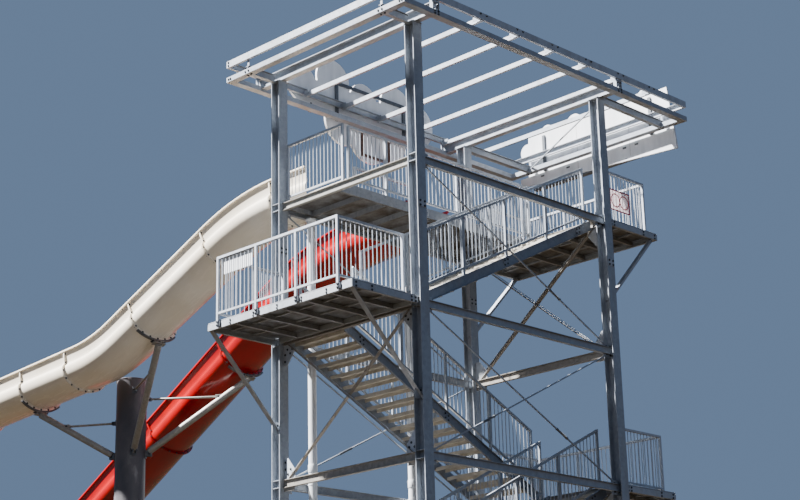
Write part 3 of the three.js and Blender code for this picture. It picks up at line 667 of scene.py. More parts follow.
# Slide support: column with cap and lugs, three arms with clevises, brackets and saddles, and their ties;
# each arm is given as its slide, the joint it holds and the height of its tie
support = {
    "x": -10.4, "y": -0.3, "radius": 0.37, "top": 12.6, "sides": 64, "capGrow": 0.01, "capUnder": 0.012,
    "capBolts": 0.28, "lugReach": 0.372, "lugDrop": 0.03, "lug": (0.03, 0.09, 0.05), "baseWide": 1.0,
    "baseThick": 0.03, "baseBolts": 0.42, "ribs": 8, "ribThick": 0.016,
    "rib": ((0.35, 0.03), (0.48, 0.03), (0.48, 0.08), (0.37, 0.42), (0.35, 0.42)), "joints": (4.2, 8.4),
    "jointGrow": 0.06, "jointApart": 0.014, "jointHalf": 0.012, "jointBolts": 12, "boltSize": 0.036,
    "edge": 0.003, "roundSides": 24, "tieSides": 12, "armFoot": 10.5, "armRadius": 0.08, "armStart": 0.1,
    "tongue": (0.2, 0.02, 0.11), "tongueAt": 0.09, "armClevis": (0.13, 0.02), "tieClevis": (0.1, 0.014),
    "tieRadius": 0.028, "tieStart": 0.1, "tieEnd": 0.12, "fork": (0.22, 0.012, 0.1), "forkAt": 0.1,
    "forkApart": 0.042, "forkBoltAt": 0.13, "saddleGrow": 0.1, "saddleInner": 0.0608, "saddleThick": 0.06,
    "saddleTop": -0.78, "saddleInnerTop": -0.752, "bracketDeep": 0.085,
    "bracketPlates": ((0.008, (0.38, 0.1, 0.014)), (0.077, (0.34, 0.12, 0.016))), "seatLift": 0.012,
    "webs": (-0.13, -0.045, 0.045, 0.13), "web": (0.014, 0.096, 0.06), "bracketBolts": (0.165, 0.03),
    "bracketBoltDrop": 0.015, "arms": (("white", 3, 12.29), ("white", 5, 11.56), ("red", 2, 12.12)),
}
lug = {"plateWide": 1.3, "plateHigh": 1.5, "out": 0.6, "apart": 0.32, "long": 1.2, "high": 0.9,
       "boltOut": 0.2}


# Two lugs on a plate that hold the end of an arm or tie, in shares of the clevis's size
def clevis(base, outward, size, thick, bolts):
    side = outward.cross(up(1)).normalized()
    turn = axesMatrix(outward, side, side.cross(outward))
    edge = support["edge"]
    parts = [bar(base + outward * thick / 2, (thick, size * lug["plateWide"], size * lug["plateHigh"]), edge,
                 turn)]
    for k in (-1, 1):
        middle = base + outward * size * lug["out"] + side * k * size * lug["apart"]
        parts.append(bar(middle, (size * lug["long"], thick, size * lug["high"]), edge, turn))
        bolts.append((middle + outward * size * lug["boltOut"] + side * k * thick / 2, side * k))
    return parts


def supportColumn(bolts):
    s = support
    foot, top = at(s["x"], s["y"], 0), at(s["x"], s["y"], s["top"])
    parts = [rod(foot + up(s["baseThick"]), top, s["radius"], s["sides"]),
             rod(top - up(s["capUnder"]), top + up(s["capGrow"]), s["radius"] + s["capGrow"], s["sides"],
                 0.004),
             bar(foot + up(s["baseThick"] / 2), (s["baseWide"], s["baseWide"], s["baseThick"]), 0.004)]
    for k in range(s["ribs"]):                           # stiffeners round the foot
        rib = plate(s["rib"], s["ribThick"], Matrix.Rotation(math.pi / 2, 4, "X"))
        rib.data.transform(Matrix.Translation(foot) @ Matrix.Rotation(2 * math.pi * k / s["ribs"], 4, "Z"))
        parts.append(rib)
    for z in s["joints"]:                                # bolted joints between the column's lengths
        for side in (-1, 1):
            middle = foot + up(z + side * s["jointApart"])
            half = up(s["jointHalf"])
            parts.append(rod(middle - half, middle + half, s["radius"] + s["jointGrow"], 48, 0.002))
            reach = s["radius"] + s["jointGrow"] / 2
            for k in range(s["jointBolts"]):
                turn = 2 * math.pi * k / s["jointBolts"]
                spot = middle + Vector((reach * math.cos(turn), reach * math.sin(turn),
                                        side * s["jointHalf"]))
                bolts.append((spot, (0, 0, side)))
    for k in range(4):                                   # lugs and bolts on the cap
        turn = math.pi / 4 + math.pi / 2 * k
        spot = Vector((math.cos(turn), math.sin(turn), 0))
        bolts.append((top + spot * s["capBolts"] + up(s["capGrow"]), (0, 0, 1)))
        parts.append(bar(top + spot * s["lugReach"] - up(s["lugDrop"]), s["lug"], s["edge"],
                         Matrix.Rotation(turn, 3, "Z")))
    for sideX in (-1, 1):
        for sideY in (-1, 1):
            corner = Vector((s["baseBolts"] * sideX, s["baseBolts"] * sideY, s["baseThick"]))
            bolts.append((foot + corner, (0, 0, 1)))
    return parts


def supportArm(colour, joint, tieHeight, bolts):
    s = support
    settings, run = slideRuns[colour], jointRuns[colour][joint]
    axes, origin = slidePlace(settings, run)
    across, upward, forward = (axes @ Vector(v) for v in ((1, 0, 0), (0, 1, 0), (0, 0, 1)))
    under = slides["deep"] + s["saddleGrow"]
    seat = origin - upward * (under + s["bracketDeep"] - s["seatLift"])
    start = at(s["x"], s["y"], s["armFoot"])
    along = (seat - start).normalized()
    flat = Vector((along.x, along.y, 0))
    surfacePoint = start + along * (s["radius"] / flat.length)
    flat.normalize()
    side = along.cross(up(1)).normalized()
    steel = [rod(surfacePoint + along * s["armStart"], seat, s["armRadius"], s["roundSides"], s["edge"]),
             bar(surfacePoint + along * s["tongueAt"], s["tongue"], s["edge"],
                 axesMatrix(along, side, side.cross(along)))]
    dark = clevis(surfacePoint, flat, *s["armClevis"], bolts)
    meet = start + (seat - start) * (tieHeight - s["armFoot"]) / (seat.z - s["armFoot"])
    tieStart = at(s["x"], s["y"], tieHeight) + flat * s["radius"]
    steel.append(rod(tieStart + flat * s["tieStart"], meet - flat * s["tieEnd"], s["tieRadius"],
                     s["tieSides"], 0.002))
    dark += clevis(tieStart, flat, *s["tieClevis"], bolts)
    for k in (-1, 1):                                    # the tie's fork on the arm
        steel.append(bar(meet - flat * s["forkAt"] + side * k * s["forkApart"], s["fork"], s["edge"],
                         axesMatrix(flat, side, up(1))))
        face = s["forkApart"] + s["fork"][1] / 2
        bolts.append((meet - flat * s["forkBoltAt"] + side * k * face, side * k))
    turn = axesMatrix(across, forward, upward)
    for drop, size in s["bracketPlates"]:
        steel.append(bar(origin - upward * (under + drop), size, 0.002, turn))
    for k in s["webs"]:                                  # webs between the bracket's plates
        steel.append(bar(origin - upward * (under + s["bracketDeep"] / 2) + across * k, s["web"], 0.0, turn))
    wide, long = s["bracketBolts"]
    for k in (-wide, wide):
        for m in (-long, long):
            bolts.append((origin - upward * (under + s["bracketBoltDrop"]) + across * k + forward * m,
                          -upward))
    band = [point for point in shellHalf(s["saddleGrow"]) if point[1] < s["saddleTop"]]
    inside = [point for point in shellHalf(s["saddleInner"]) if point[1] < s["saddleInnerTop"]]
    dark.append(plate(withMirror(band) + list(reversed(withMirror(inside))), s["saddleThick"],
                      slideMatrix(settings, run)))
    return steel, dark


def makeSupport():
    steel, dark, bolts = [], [], []
    parts = supportColumn(bolts)
    for colour, joint, tieHeight in support["arms"]:
        armSteel, armDark = supportArm(colour, joint, tieHeight, bolts)
        steel += armSteel
        dark += armDark
    smooth = shaping["roundAngle"]
    finished(parts, "slideSupportColumn", supportPaint, smooth, ["slide_support"])
    finished(steel, "slideSupportArms", zinc["weathered"], smooth, ["slide_support"])
    finished(dark, "slideSupportSaddles", zinc["dark"], smooth, ["slide_support"])
    boltsAt("slideSupportBolts", bolts, support["boltSize"])


makeSupport()
print("tower: support made")

# Stairs: channel stringers with splice plates, folded tread plates on angle cleats
stairs = {
    "stringerWide": 0.05, "stringerDeep": 0.23, "lift": 0.03, "flange": 0.012, "web": 0.01,
    "endGap": 0.046, "footDrop": -0.2, "flangeGap": 0.004, "groundGap": 0.02, "flangeShort": 0.012,
    "splices": (0.08, 0.5, 0.92), "splice": (0.012, 0.16, 0.15), "spliceDrop": 0.085, "spliceBolt": 0.045,
    "treadDeep": 0.3, "treadPlate": 0.006, "treadLip": 0.075, "treadBack": 0.01, "treadLap": 0.004,
    "cleat": 0.04, "cleatDeep": 0.28, "cleatDrop": 0.004, "legHigh": 0.045, "legDrop": 0.03,
    "legIn": 0.004, "nosing": (0.03, 0.004), "nosingAt": 0.016, "nosingUp": 0.001, "nosingShort": 0.01,
    "fine": 0.001, "boltSize": 0.026,
}
alongY = Matrix(((0, 0, 1, 0), (1, 0, 0, 0), (0, 1, 0, 0), (0, 0, 0, 1)))      # outline into Y and Z
alongX = Matrix(((1, 0, 0, 0), (0, 0, -1, 0), (0, 1, 0, 0), (0, 0, 0, 1)))     # outline into X and Z


# One stringer: its web, flanges and splices, with its outer face at x
def makeStringer(level, x, outward, steel, bolts):
    t, s = tower, stairs
    side = t["landingSides"][level - 1]
    floor = (level - 1) * t["storey"]
    full = 2 * t["columnY"]
    slope = t["storey"] / full
    stretch = math.hypot(1, slope)
    tilt = Matrix.Rotation(math.atan(slope) * side, 3, "X")
    first, last = 0.0 if level == 1 else s["endGap"], full - s["endGap"]
    under = s["lift"] - s["stringerDeep"]
    foot = 0.0 if level == 1 else s["footDrop"]
    meet = -under / slope                                # where the lower edge leaves the ground
    shape = [(first, max(first * slope + under, foot)), (first, first * slope + s["lift"]),
             (last, last * slope + s["lift"]), (last, last * slope + under)]
    if level == 1:
        shape.append((meet, 0.0))
    inner = x - outward * (s["stringerWide"] - s["web"] / 2)
    points = [(side * (run - t["columnY"]), floor + z) for run, z in shape]
    steel.append(plate(points, s["web"], Matrix.Translation(at(inner, 0, 0)) @ alongY))
    for top in (True, False):
        start = first if top or level > 1 else meet + s["groundGap"]
        begin = max(start, first + s["flangeGap"])
        centre = (begin + last) / 2
        offset = (s["lift"] if top else under) + (-1 if top else 1) * s["flange"] / 2 * stretch
        size = (s["stringerWide"], (last - begin) * stretch - s["flangeShort"], s["flange"])
        steel.append(bar(at(x - outward * s["stringerWide"] / 2, side * (centre - t["columnY"]),
                            floor + centre * slope + offset), size, shaping["edge"], tilt))
    face = inner + outward * s["web"]
    for share in s["splices"]:
        run = first + (last - first) * share
        middle = at(face, side * (run - t["columnY"]), floor + run * slope - s["spliceDrop"])
        steel.append(bar(middle, s["splice"], shaping["edge"], tilt))
        for across in (-s["spliceBolt"], s["spliceBolt"]):
            for height in (-s["spliceBolt"], s["spliceBolt"]):
                spot = run + across
                bolts.append((at(face + outward * s["splice"][0] / 2, side * (spot - t["columnY"]),
                                 floor + spot * slope - s["spliceDrop"] + height), (outward, 0, 0)))


def makeFlight(level):
    t, s = tower, stairs
    side = t["landingSides"][level - 1]
    going, riser = 2 * t["columnY"] / t["risers"], t["storey"] / t["risers"]
    edges = sorted((side * t["laneInner"], side * t["laneOuter"]))
    steel, plates, bolts = [], [], []
    for x, outward in ((edges[0], -1), (edges[1], 1)):
        makeStringer(level, x, outward, steel, bolts)
    middleX = (edges[0] + edges[1]) / 2
    wide = edges[1] - edges[0] - 2 * s["stringerWide"] + s["treadLap"]
    thick = s["treadPlate"]
    for i in range(1, t["risers"]):
        z = (level - 1) * t["storey"] + i * riser
        run = i * going - s["treadBack"] + s["treadDeep"] / 2
        y = side * (run - t["columnY"])
        plates.append(bar(at(middleX, y, z - thick / 2), (wide, s["treadDeep"], thick), shaping["edge"]))
        for end in (-1, 1):
            lipY = side * (run + end * (s["treadDeep"] - thick) / 2 - t["columnY"])
            plates.append(bar(at(middleX, lipY, z - s["treadLip"] / 2), (wide, thick, s["treadLip"]), 0.0015))
            steel.append(bar(at(middleX + end * (wide - s["cleat"]) / 2, y, z - thick - s["cleatDrop"]),
                             (s["cleat"], s["cleatDeep"], thick), s["fine"]))
            steel.append(bar(at(middleX + end * (wide / 2 - s["legIn"]), y, z - s["legDrop"]),
                             (thick, s["cleatDeep"], s["legHigh"]), s["fine"]))
        nosingY = side * (i * going + s["nosingAt"] - t["columnY"])
        plates.append(bar(at(middleX, nosingY, z + s["nosingUp"]), (wide - s["nosingShort"], *s["nosing"]),
                          s["fine"]))
    name = f"stair_flight_{level}"
    finished(steel, f"flightStringers{level}", zinc["stringer"], shaping["flatAngle"], [name])
    finished(plates, f"flightTreads{level}", treadPlate, shaping["flatAngle"], [name])
    boltsAt(f"flightBolts{level}", bolts, s["boltSize"])


for level in range(1, tower["storeys"] + 1):
    makeFlight(level)
print("tower: stairs made")

# Landings: channels round the edge, flanged joists, deck sheets, angle struts and their bolts
landings = {
    "web": 0.01, "flange": 0.055, "joists": 5, "joistWeb": 0.008, "joistFlange": 0.06, "joistDeep": 0.085,
    "sheets": 4, "strutLeg": 0.11, "strutThick": 0.01, "strutDrop": 1.848, "strutIn": 0.06,
    "strutFoot": 0.04, "clear": 0.0003, "footPlate": (0.006, 0.2, 0.22), "footUnder": 0.02,
    "topBolts": (0.07, 0.15), "footBolts": (0.06, 0.13), "footBoltUp": 0.14, "beamHalf": 0.045,
    "beamWide": 0.06, "beamReach": 1.85, "beamUp": 0.02, "edgeBolts": (0.07, 0.17),
    "tipBolts": (0.5, 0.1), "boltApart": 0.035, "joistBolt": 0.03, "thinBars": (0.55, 1.1),
    "thinHalf": 0.02, "thinDeep": 0.035, "gap": 0.0005, "sheetIn": 0.004, "sheetGap": 0.002, "clips": 4,
    "clipBolts": (0.045, 0.11), "clip": ((0.027, 0.0003, -0.13), (0.06, 0.03, -0.03)), "boltSize": 0.028,
}


# An angle strut from under the landing's edge down to the column's web, with its foot plate and bolts
def makeStrut(x, side, edgeZ, bolts):
    t, s = tower, landings
    leg, thick = s["strutLeg"], s["strutThick"]
    webY = t["columnY"] + 0.0063                         # just clear of the column's web
    footZ = edgeZ - s["strutDrop"]
    start = at(x, side * (t["landingReach"] - s["strutIn"]), edgeZ)
    end = at(x, side * (t["columnY"] - s["strutFoot"]), footZ)
    along = (end - start).normalized()
    share = (t["landingReach"] - s["strutIn"] - webY) / (t["landingReach"] - 0.02 - t["columnY"])
    end = start + (end - start) * share
    length, middle = (end - start).length, (start + end) / 2
    sideways = Vector((1, 0, 0))
    across = sideways.cross(along)
    turn = axesMatrix(across, sideways, along)
    parts = [bar(middle - sideways * (leg - thick) / 2 + across * thick / 2, (leg - thick, thick, length),
                 shaping["edge"], turn),
             bar(middle - across * (leg - thick) / 2, (thick, leg, length), shaping["edge"], turn)]
    half, deep, high = s["footPlate"]
    low = footZ - s["footUnder"]
    parts.append(spanBar((x - half, side * webY, low), (x + half, side * (webY + deep), low + high)))
    for k in s["topBolts"]:
        point = start + along * k - sideways * leg / 2
        bolts += [(point, (-1, 0, 0)), (point + sideways * thick, (1, 0, 0))]
    for k in s["footBolts"]:
        bolts.append((at(x + half, side * (webY + k), footZ + s["footBoltUp"]), (1, 0, 0)))
    return parts


# Channels round a landing's edge, with the beam that carries it at the columns
def landingEdge(side, under, bolts):
    t, s = tower, landings
    low, reach, half = under - t["edgeDepth"], t["landingReach"], t["landingHalf"]
    web, gap = s["web"], s["gap"]
    tip = t["columnY"] + t["columnHalf"] + s["clear"]
    beamFace = t["columnY"] + s["beamHalf"] + s["clear"]
    steel = []
    for end in (-1, 1):
        steel.append(spanBar((end * (half - web), side * tip, low), (end * half, side * reach, under)))
        for z in (low, under - web):
            steel.append(spanBar((end * (half - web - s["flange"]), side * tip, z + gap),
                                 (end * (half - web), side * (reach - web), z + web - gap), 0.001))
        for y in [tip + k for k in s["edgeBolts"]] + [reach - k for k in s["tipBolts"]]:
            for z in (-s["boltApart"], s["boltApart"]):
                bolts.append((at(end * half, side * y, under - t["edgeDepth"] / 2 + z), (end, 0, 0)))
        steel += makeStrut(end * t["columnX"], side, low + t["edgeDepth"] / 2, bolts)
    inner = half - web - gap
    steel.append(spanBar((-inner, side * (reach - web), low), (inner, side * reach, under)))
    for z in (low, under - web):
        steel.append(spanBar((-inner + s["flange"], side * (reach - web - s["flange"]), z + gap),
                             (inner - s["flange"], side * (reach - web), z + web - gap), 0.001))
    steel.append(spanBar((-s["beamReach"], side * beamFace, low + s["beamUp"]),
                         (s["beamReach"], side * (beamFace + s["beamWide"]), under)))
    return steel


def makeLanding(level):
    t, s = tower, landings
    side = t["landingSides"][level - 1]
    floor = level * t["storey"]
    under = floor - t["deckThick"]
    tip = t["columnY"] + t["columnHalf"] + s["clear"]
    beamFace = t["columnY"] + s["beamHalf"] + s["clear"]
    reach, half, web, deep = t["landingReach"], t["landingHalf"], s["web"], under - s["joistDeep"]
    joists, sheets, clips, bolts = [], [], [], []
    steel = landingEdge(side, under, bolts)
    near, far = side * (beamFace + s["beamWide"] + 0.002), side * (reach - web - 0.001)
    for i in range(1, s["joists"] + 1):
        x = -half + 2 * half * i / (s["joists"] + 1)
        joists.append(spanBar((x - s["joistWeb"] / 2, near, deep), (x + s["joistWeb"] / 2, far, under)))
        joists.append(spanBar((x - s["joistFlange"] / 2, near, deep - s["joistWeb"]),
                              (x + s["joistFlange"] / 2, far, deep), 0.001))
        for z in (-s["joistBolt"], s["joistBolt"]):
            bolts.append((at(x, side * reach, under - t["edgeDepth"] / 2 + z), (0, side, 0)))
    inner = half - web - s["gap"] - 0.002
    for back in s["thinBars"]:                           # thin bars under the sheets, between the joists
        joists.append(spanBar((-inner, side * (reach - back - s["thinHalf"]), under - s["thinDeep"]),
                              (inner, side * (reach - back + s["thinHalf"]), under)))
    sheetHalf, skin = half - s["sheetIn"], 0.001         # the sheets lie a hair above the joists
    wide = 2 * sheetHalf / s["sheets"]
    for i in range(s["sheets"]):
        x = -sheetHalf + i * wide
        sheets.append(spanBar((x + s["sheetGap"], side * (tip + skin), under + skin),
                              (x + wide - s["sheetGap"], side * (reach - s["sheetIn"]), floor)))
    sheets.append(spanBar((-s["beamReach"], side * beamFace, under + skin),
                          (s["beamReach"], side * (tip - skin), floor)))
    (lowX, lowY, lowZ), (highX, highY, highZ) = s["clip"]
    for k in range(s["clips"]):                          # clips and bolts at the feet of the rail's posts
        x = -t["railX"] + 2 * t["railX"] * k / (s["clips"] - 1)
        for z in s["clipBolts"]:
            bolts.append((at(x, side * (t["railY"] + 0.0253), floor - z), (0, side, 0)))
        clips.append(spanBar((x + lowX, side * (reach + lowY), floor + lowZ),
                             (x + highX, side * (reach + highY), floor + highZ)))
    name, smooth = f"landing_{level}", shaping["flatAngle"]
    finished(steel, f"landingSteel{level}", zinc["plain"], smooth, [name])
    finished(joists, f"landingJoists{level}", zinc["joist"], smooth, [name])
    finished(sheets, f"landingSheets{level}", zinc["deck"], smooth, [name])
    finished(clips, f"landingClips{level}", zinc["dark"], smooth)
    boltsAt(f"landingBolts{level}", bolts, s["boltSize"])


for level in range(1, tower["storeys"] + 1):
    makeLanding(level)
print("tower: landings made")

# Side frames: outstanding legs of the brace angles, rod turnbuckles, bolts on the gusset plates and
# column splices
frames = {
    "half": 1.8597, "halfSide": 2.8737, "endIn": 0.165, "endUp": 0.09, "ground": 0.33, "gussetUp": 0.08,
    "leg": 0.045, "legThick": 0.009, "legOff": 0.0072, "legShort": 0.5, "brace": 0.08, "clear": 0.0003,
    "front": (2, 4), "rear": (1, 3, 5), "sides": (1, 2, 4, 5), "singleRod": (5, 1),
    "plate": ((0.0, 0.0), (0.33, 0.0), (0.33, 0.16), (0.12, 0.42), (0.0, 0.42)), "plateThick": 0.013,
    "plateBolts": ((0.05, 0.34), (0.05, 0.2), (0.12, 0.1), (0.2, 0.19), (0.26, 0.11)),
    "plateFace": 0.0068, "tighten": (0.7, 0.3), "sleeveHalf": 0.16, "sleeveRadius": 0.024,
    "nutHalf": 0.02, "nutRadius": 0.03, "sideBolts": (0.07, 0.2), "sideBoltUp": 0.09, "sideFace": 0.0061,
    "boltSize": 0.03, "splices": (4.66, 13.35), "splice": (0.01, 0.2, 0.15), "spliceOff": 0.0053,
    "spliceBolts": (0.06, 0.045),
}


def crossEnds(half, low, high, flip):
    across, bottom, top = half - frames["endIn"], low + frames["endUp"], high - frames["endUp"]
    return [(-across, bottom), (across, top)] if flip else [(-across, top), (across, bottom)]


# The heights between which a bay's braces run, up to a floor's beam
def bayOf(level):
    def beamMiddle(floor):
        return floor * tower["storey"] - tower["beamTopBelowFloor"] - tower["beamDepth"] / 2
    return frames["ground"] if level == 1 else beamMiddle(level - 1), beamMiddle(level)


# The outstanding leg of one brace angle, standing out on one side of the frame
def braceLeg(side, low, high, flip):
    t, f = tower, frames
    (ax, az), (bx, bz) = crossEnds(f["half"], low, high, flip)
    start, end = at(ax, side * t["columnY"], az), at(bx, side * t["columnY"], bz)
    along = (end - start).normalized()
    outward = Vector((0, -side if flip else side, 0))
    upward = outward.cross(along)
    upward = upward if upward.z > 0 else -upward
    centre = (start + end) / 2 + outward * (f["legOff"] + f["leg"] / 2)
    centre += upward * (f["brace"] - f["legThick"]) / 2
    return bar(centre, (f["leg"], f["legThick"], (end - start).length - f["legShort"]), shaping["edge"],
               axesMatrix(outward, along.cross(outward), along))


# The gusset plates at the four corners of a bay, with their bolts
def cornerPlates(side, low, high, bolts):
    t, f = tower, frames
    parts = []
    for end in (-1, 1):
        for z, upright in ((low, 1), (high, -1)):
            turn = Matrix(((-end, 0, 0, 0), (0, 0, 1, 0), (0, upright, 0, 0), (0, 0, 0, 1)))
            corner = at(end * (f["half"] - f["clear"]), side * t["columnY"], z + upright * f["gussetUp"])
            parts.append(plate(f["plate"], f["plateThick"], Matrix.Translation(corner) @ turn))
            for dx, dz in f["plateBolts"]:
                bolts.append((at(end * (f["half"] - dx), side * (t["columnY"] + f["plateFace"]),
                                 z + upright * (f["gussetUp"] + dz)), (0, side, 0)))
    return parts


# The turnbuckle of one tie rod: a sleeve with a nut at each end
def turnbuckle(side, low, high, flip):
    f = frames
    (ay, az), (by, bz) = crossEnds(f["halfSide"], low, high, flip)
    start, end = at(side * tower["columnX"], ay, az), at(side * tower["columnX"], by, bz)
    middle, along = start + (end - start) * f["tighten"][flip], (end - start).normalized()
    sleeve, nut = along * f["sleeveHalf"], along * f["nutHalf"]
    return [rod(middle - sleeve, middle + sleeve, f["sleeveRadius"], 8, 0.002),
            rod(middle - sleeve - nut, middle - sleeve + nut, f["nutRadius"], 6),
            rod(middle + sleeve - nut, middle + sleeve + nut, f["nutRadius"], 6)]


def makeFrames():
    t, f = tower, frames
    legs, dark, straps, bolts = [], [], [], []
    for levels, side in ((f["front"], -1), (f["rear"], 1)):
        for level in levels:
            low, high = bayOf(level)
            legs += [braceLeg(side, low, high, flip) for flip in (False, True)]
            straps += cornerPlates(side, low, high, bolts)
    lift = f["sideBoltUp"]
    for level in f["sides"]:
        low, high = bayOf(level)
        for side in (-1, 1):
            for flip in (False,) if (level, side) == f["singleRod"] else (False, True):
                dark += turnbuckle(side, low, high, flip)
            for end in (-1, 1):
                for dy in f["sideBolts"]:
                    for z in (low - lift, low + lift, high - lift, high + lift):
                        point = at(side * (t["columnX"] + f["sideFace"]), end * (f["halfSide"] - dy), z)
                        bolts.append((point, (side, 0, 0)))
    boltY, boltZ = f["spliceBolts"]
    for z in f["splices"]:
        for signX in (-1, 1):
            for signY in (-1, 1):
                for face in (-1, 1):
                    x = signX * t["columnX"] + face * (t["columnHalf"] + f["spliceOff"])
                    straps.append(bar(at(x, signY * t["columnY"], z), f["splice"], shaping["edge"]))
                    for dy in (-boltY, boltY):
                        for dz in (-boltZ, boltZ):
                            point = at(x + face * f["splice"][0] / 2, signY * t["columnY"] + dy, z + dz)
                            bolts.append((point, (face, 0, 0)))
    finished(legs, "braceLegs", zinc["plain"], shaping["flatAngle"])
    finished(dark, "rodTurnbuckles", zinc["dark"], shaping["flatAngle"])
    finished(straps, "columnSplices", zinc["bright"], shaping["flatAngle"])
    boltsAt("frameBolts", bolts, f["boltSize"])


makeFrames()
print("tower: frames detailed")

# Roof: cleats between the two rings and at the purlins' ends, and the bolts of the rings
roof = {
    "under": 17.08, "lowerFace": 17.135, "upperMid": 17.485, "purlins": (-1.55, 1.11, 6),
    "boltSize": 0.03, "purlinCleat": ((0.02, -0.06, 17.4), (0.2, -0.052, 17.5)),
    "purlinBolts": (-0.04, 0.14), "purlinBoltZ": 17.53,
    "beamCleat": ((0.012, -0.004, 17.19), (0.1, 0.004, 17.41)), "beamCleats": (-0.09, 0.09),
    "ringBolts": (0.05, 0.03), "endBolts": (0.07, 0.13), "endUpper": (0.06, 0.035),
    "columnBolts": (-0.05, 0.05), "underIn": 0.08,
    "stubCleat": ((-0.03, 0.04, 17.19), (0.03, 0.048, 17.41)),
}


def makeRoofDetails():
    t, r = tower, roof
    cleats, bolts = [], []
    first, pitch, count = r["purlins"]
    for side in (-1, 1):
        x = side * t["roofX"]
        sites = [(first + pitch * i, r["purlinCleat"]) for i in range(count)]
        sites += [(y + dy, r["beamCleat"]) for y in (-t["columnY"], t["columnY"]) for dy in r["beamCleats"]]
        for y, ((inX, lowY, lowZ), (farX, highY, highZ)) in sites:
            cleats.append(spanBar((x - side * inX, y + lowY, lowZ), (x - side * farX, y + highY, highZ)))
        bolts += [(at(x, first + pitch * i + dy, r["purlinBoltZ"]), (side, 0, 0))
                  for i in range(count) for dy in r["purlinBolts"]]
        boltY, boltZ = r["ringBolts"]
        bolts += [(at(x, y + dy, r["lowerFace"] + dz), (side, 0, 0)) for y in (-t["columnY"], t["columnY"])
                  for dy in (-boltY, boltY) for dz in (-boltZ, boltZ)]
        for face, y in ((-1, t["roofFront"]), (1, t["roofRear"])):
            bolts += [(at(x - side * back, y, r["lowerFace"]), (0, face, 0)) for back in r["endBolts"]]
            back, boltZ = r["endUpper"]
            bolts += [(at(x - side * back, y, r["upperMid"] + dz), (0, face, 0)) for dz in (-boltZ, boltZ)]
            columnX = side * t["columnX"]
            for k in r["columnBolts"]:
                bolts.append((at(columnX + k, y, r["lowerFace"]), (0, face, 0)))
                bolts.append((at(columnX + k, y - face * r["underIn"], r["under"]), (0, 0, -1)))
            (lowX, nearY, lowZ), (highX, farY, highZ) = r["stubCleat"]
            cleats.append(spanBar((columnX + lowX, y - face * nearY, lowZ),
                                  (columnX + highX, y - face * farY, highZ)))
    finished(cleats, "roofCleats", zinc["column"], shaping["flatAngle"])
    boltsAt("roofBolts", bolts, r["boltSize"])


makeRoofDetails()
print("tower: roof detailed")

# Sign boards: sheets with round lobes on steel frames; bare and white
signs = {
    "thick": 0.05, "left": -2.735, "rear": 5.425, "steps": 40, "boltSize": 0.03,
    "leftPanel": ((-1.75, 17.18), (2.2, 17.18), (2.2, 17.94), (-1.75, 17.94)),
    "leftLobes": ((-1.56, 17.74, 0.44), (-0.62, 18.07, 0.5), (0.33, 17.83, 0.42), (1.38, 17.96, 0.5),
                  (2.08, 17.7, 0.52), (-0.33, 17.13, 0.54), (0.48, 16.99, 0.64), (1.15, 17.11, 0.54)),
    "rearPanel": ((-2.4, 16.86), (2.27, 16.57), (2.09, 18.12), (-2.1, 18.12), (-2.14, 17.06),
                  (-2.4, 17.06)),
    "rearLobes": ((-2.15, 17.72, 0.21), (-1.5, 18.06, 0.19), (-0.65, 18.04, 0.24), (0.45, 18.03, 0.26),
                  (1.45, 18.05, 0.22)),
}
# Where a bar repeats, then its low and high corner there
signBars = {
    "leftPosts": ((-0.54, 1.6), (-2.7093, -0.04, 17.19), (-2.665, 0.04, 18.02)),
    "leftArms": ((-1.35, -0.54, 1.6), (-2.72, -0.035, 17.105), (-2.6403, 0.035, 17.175)),
    "leftTop": ((0.0,), (-2.7093, -0.54, 17.99), (-2.675, 1.7, 18.07)),
    "rustyPosts": ((0.25, 1.1), (-2.7093, -0.03, 16.47), (-2.68, 0.03, 17.1)),
    "rustyFoot": ((0.0,), (-2.7093, 0.281, 16.48), (-2.685, 1.069, 16.54)),
    "rearPosts": ((-1.6, 0.15, 1.6), (-0.04, 5.36, 17.075), (0.04, 5.3995, 18.0)),
    "rearArms": ((-1.6, 0.15, 1.6), (-0.04, 5.3303, 17.105), (0.04, 5.3595, 17.175)),
    "rearRailLow": ((0.0,), (-2.05, 5.4505, 16.7), (2.1, 5.6, 16.75)),
    "rearRailHigh": ((0.0,), (-2.05, 5.4505, 17.02), (2.1, 5.6, 17.07)),
    "rearCleats": ((-1.75, -0.95, -0.1, 0.75, 1.1), (0.0, 5.385, 16.96), (0.1, 5.3995, 17.0)),
    "rearSeams": ((-0.6, 0.95), (0.0, 5.3975, 16.75), (0.008, 5.3995, 18.05)),
    "boltFace": -2.665, "boltZ": 17.3,
}


def lobedSheet(panel, lobes, place):
    sheet = plate(panel, signs["thick"], place)
    for across, height, radius in lobes:
        turns = [2 * math.pi * k / signs["steps"] for k in range(signs["steps"])]
        ring = [(across + radius * math.cos(turn), height + radius * math.sin(turn)) for turn in turns]
        disc = plate(ring, signs["thick"], place)
        join = sheet.modifiers.new("lobe", "BOOLEAN")
        join.operation = "UNION"
        join.solver = "EXACT"
        join.object = disc
        applied(sheet)
        bpy.data.objects.remove(disc)
    return sheet


def signFrame(keys, axis, edge=shaping["edge"]):
    parts = []
    for key in keys:
        places, low, high = signBars[key]
        for place in places:
            shift = Vector((place, 0, 0)) if axis == "X" else Vector((0, place, 0))
            parts.append(spanBar(Vector(low) + shift, Vector(high) + shift, edge))
    return parts


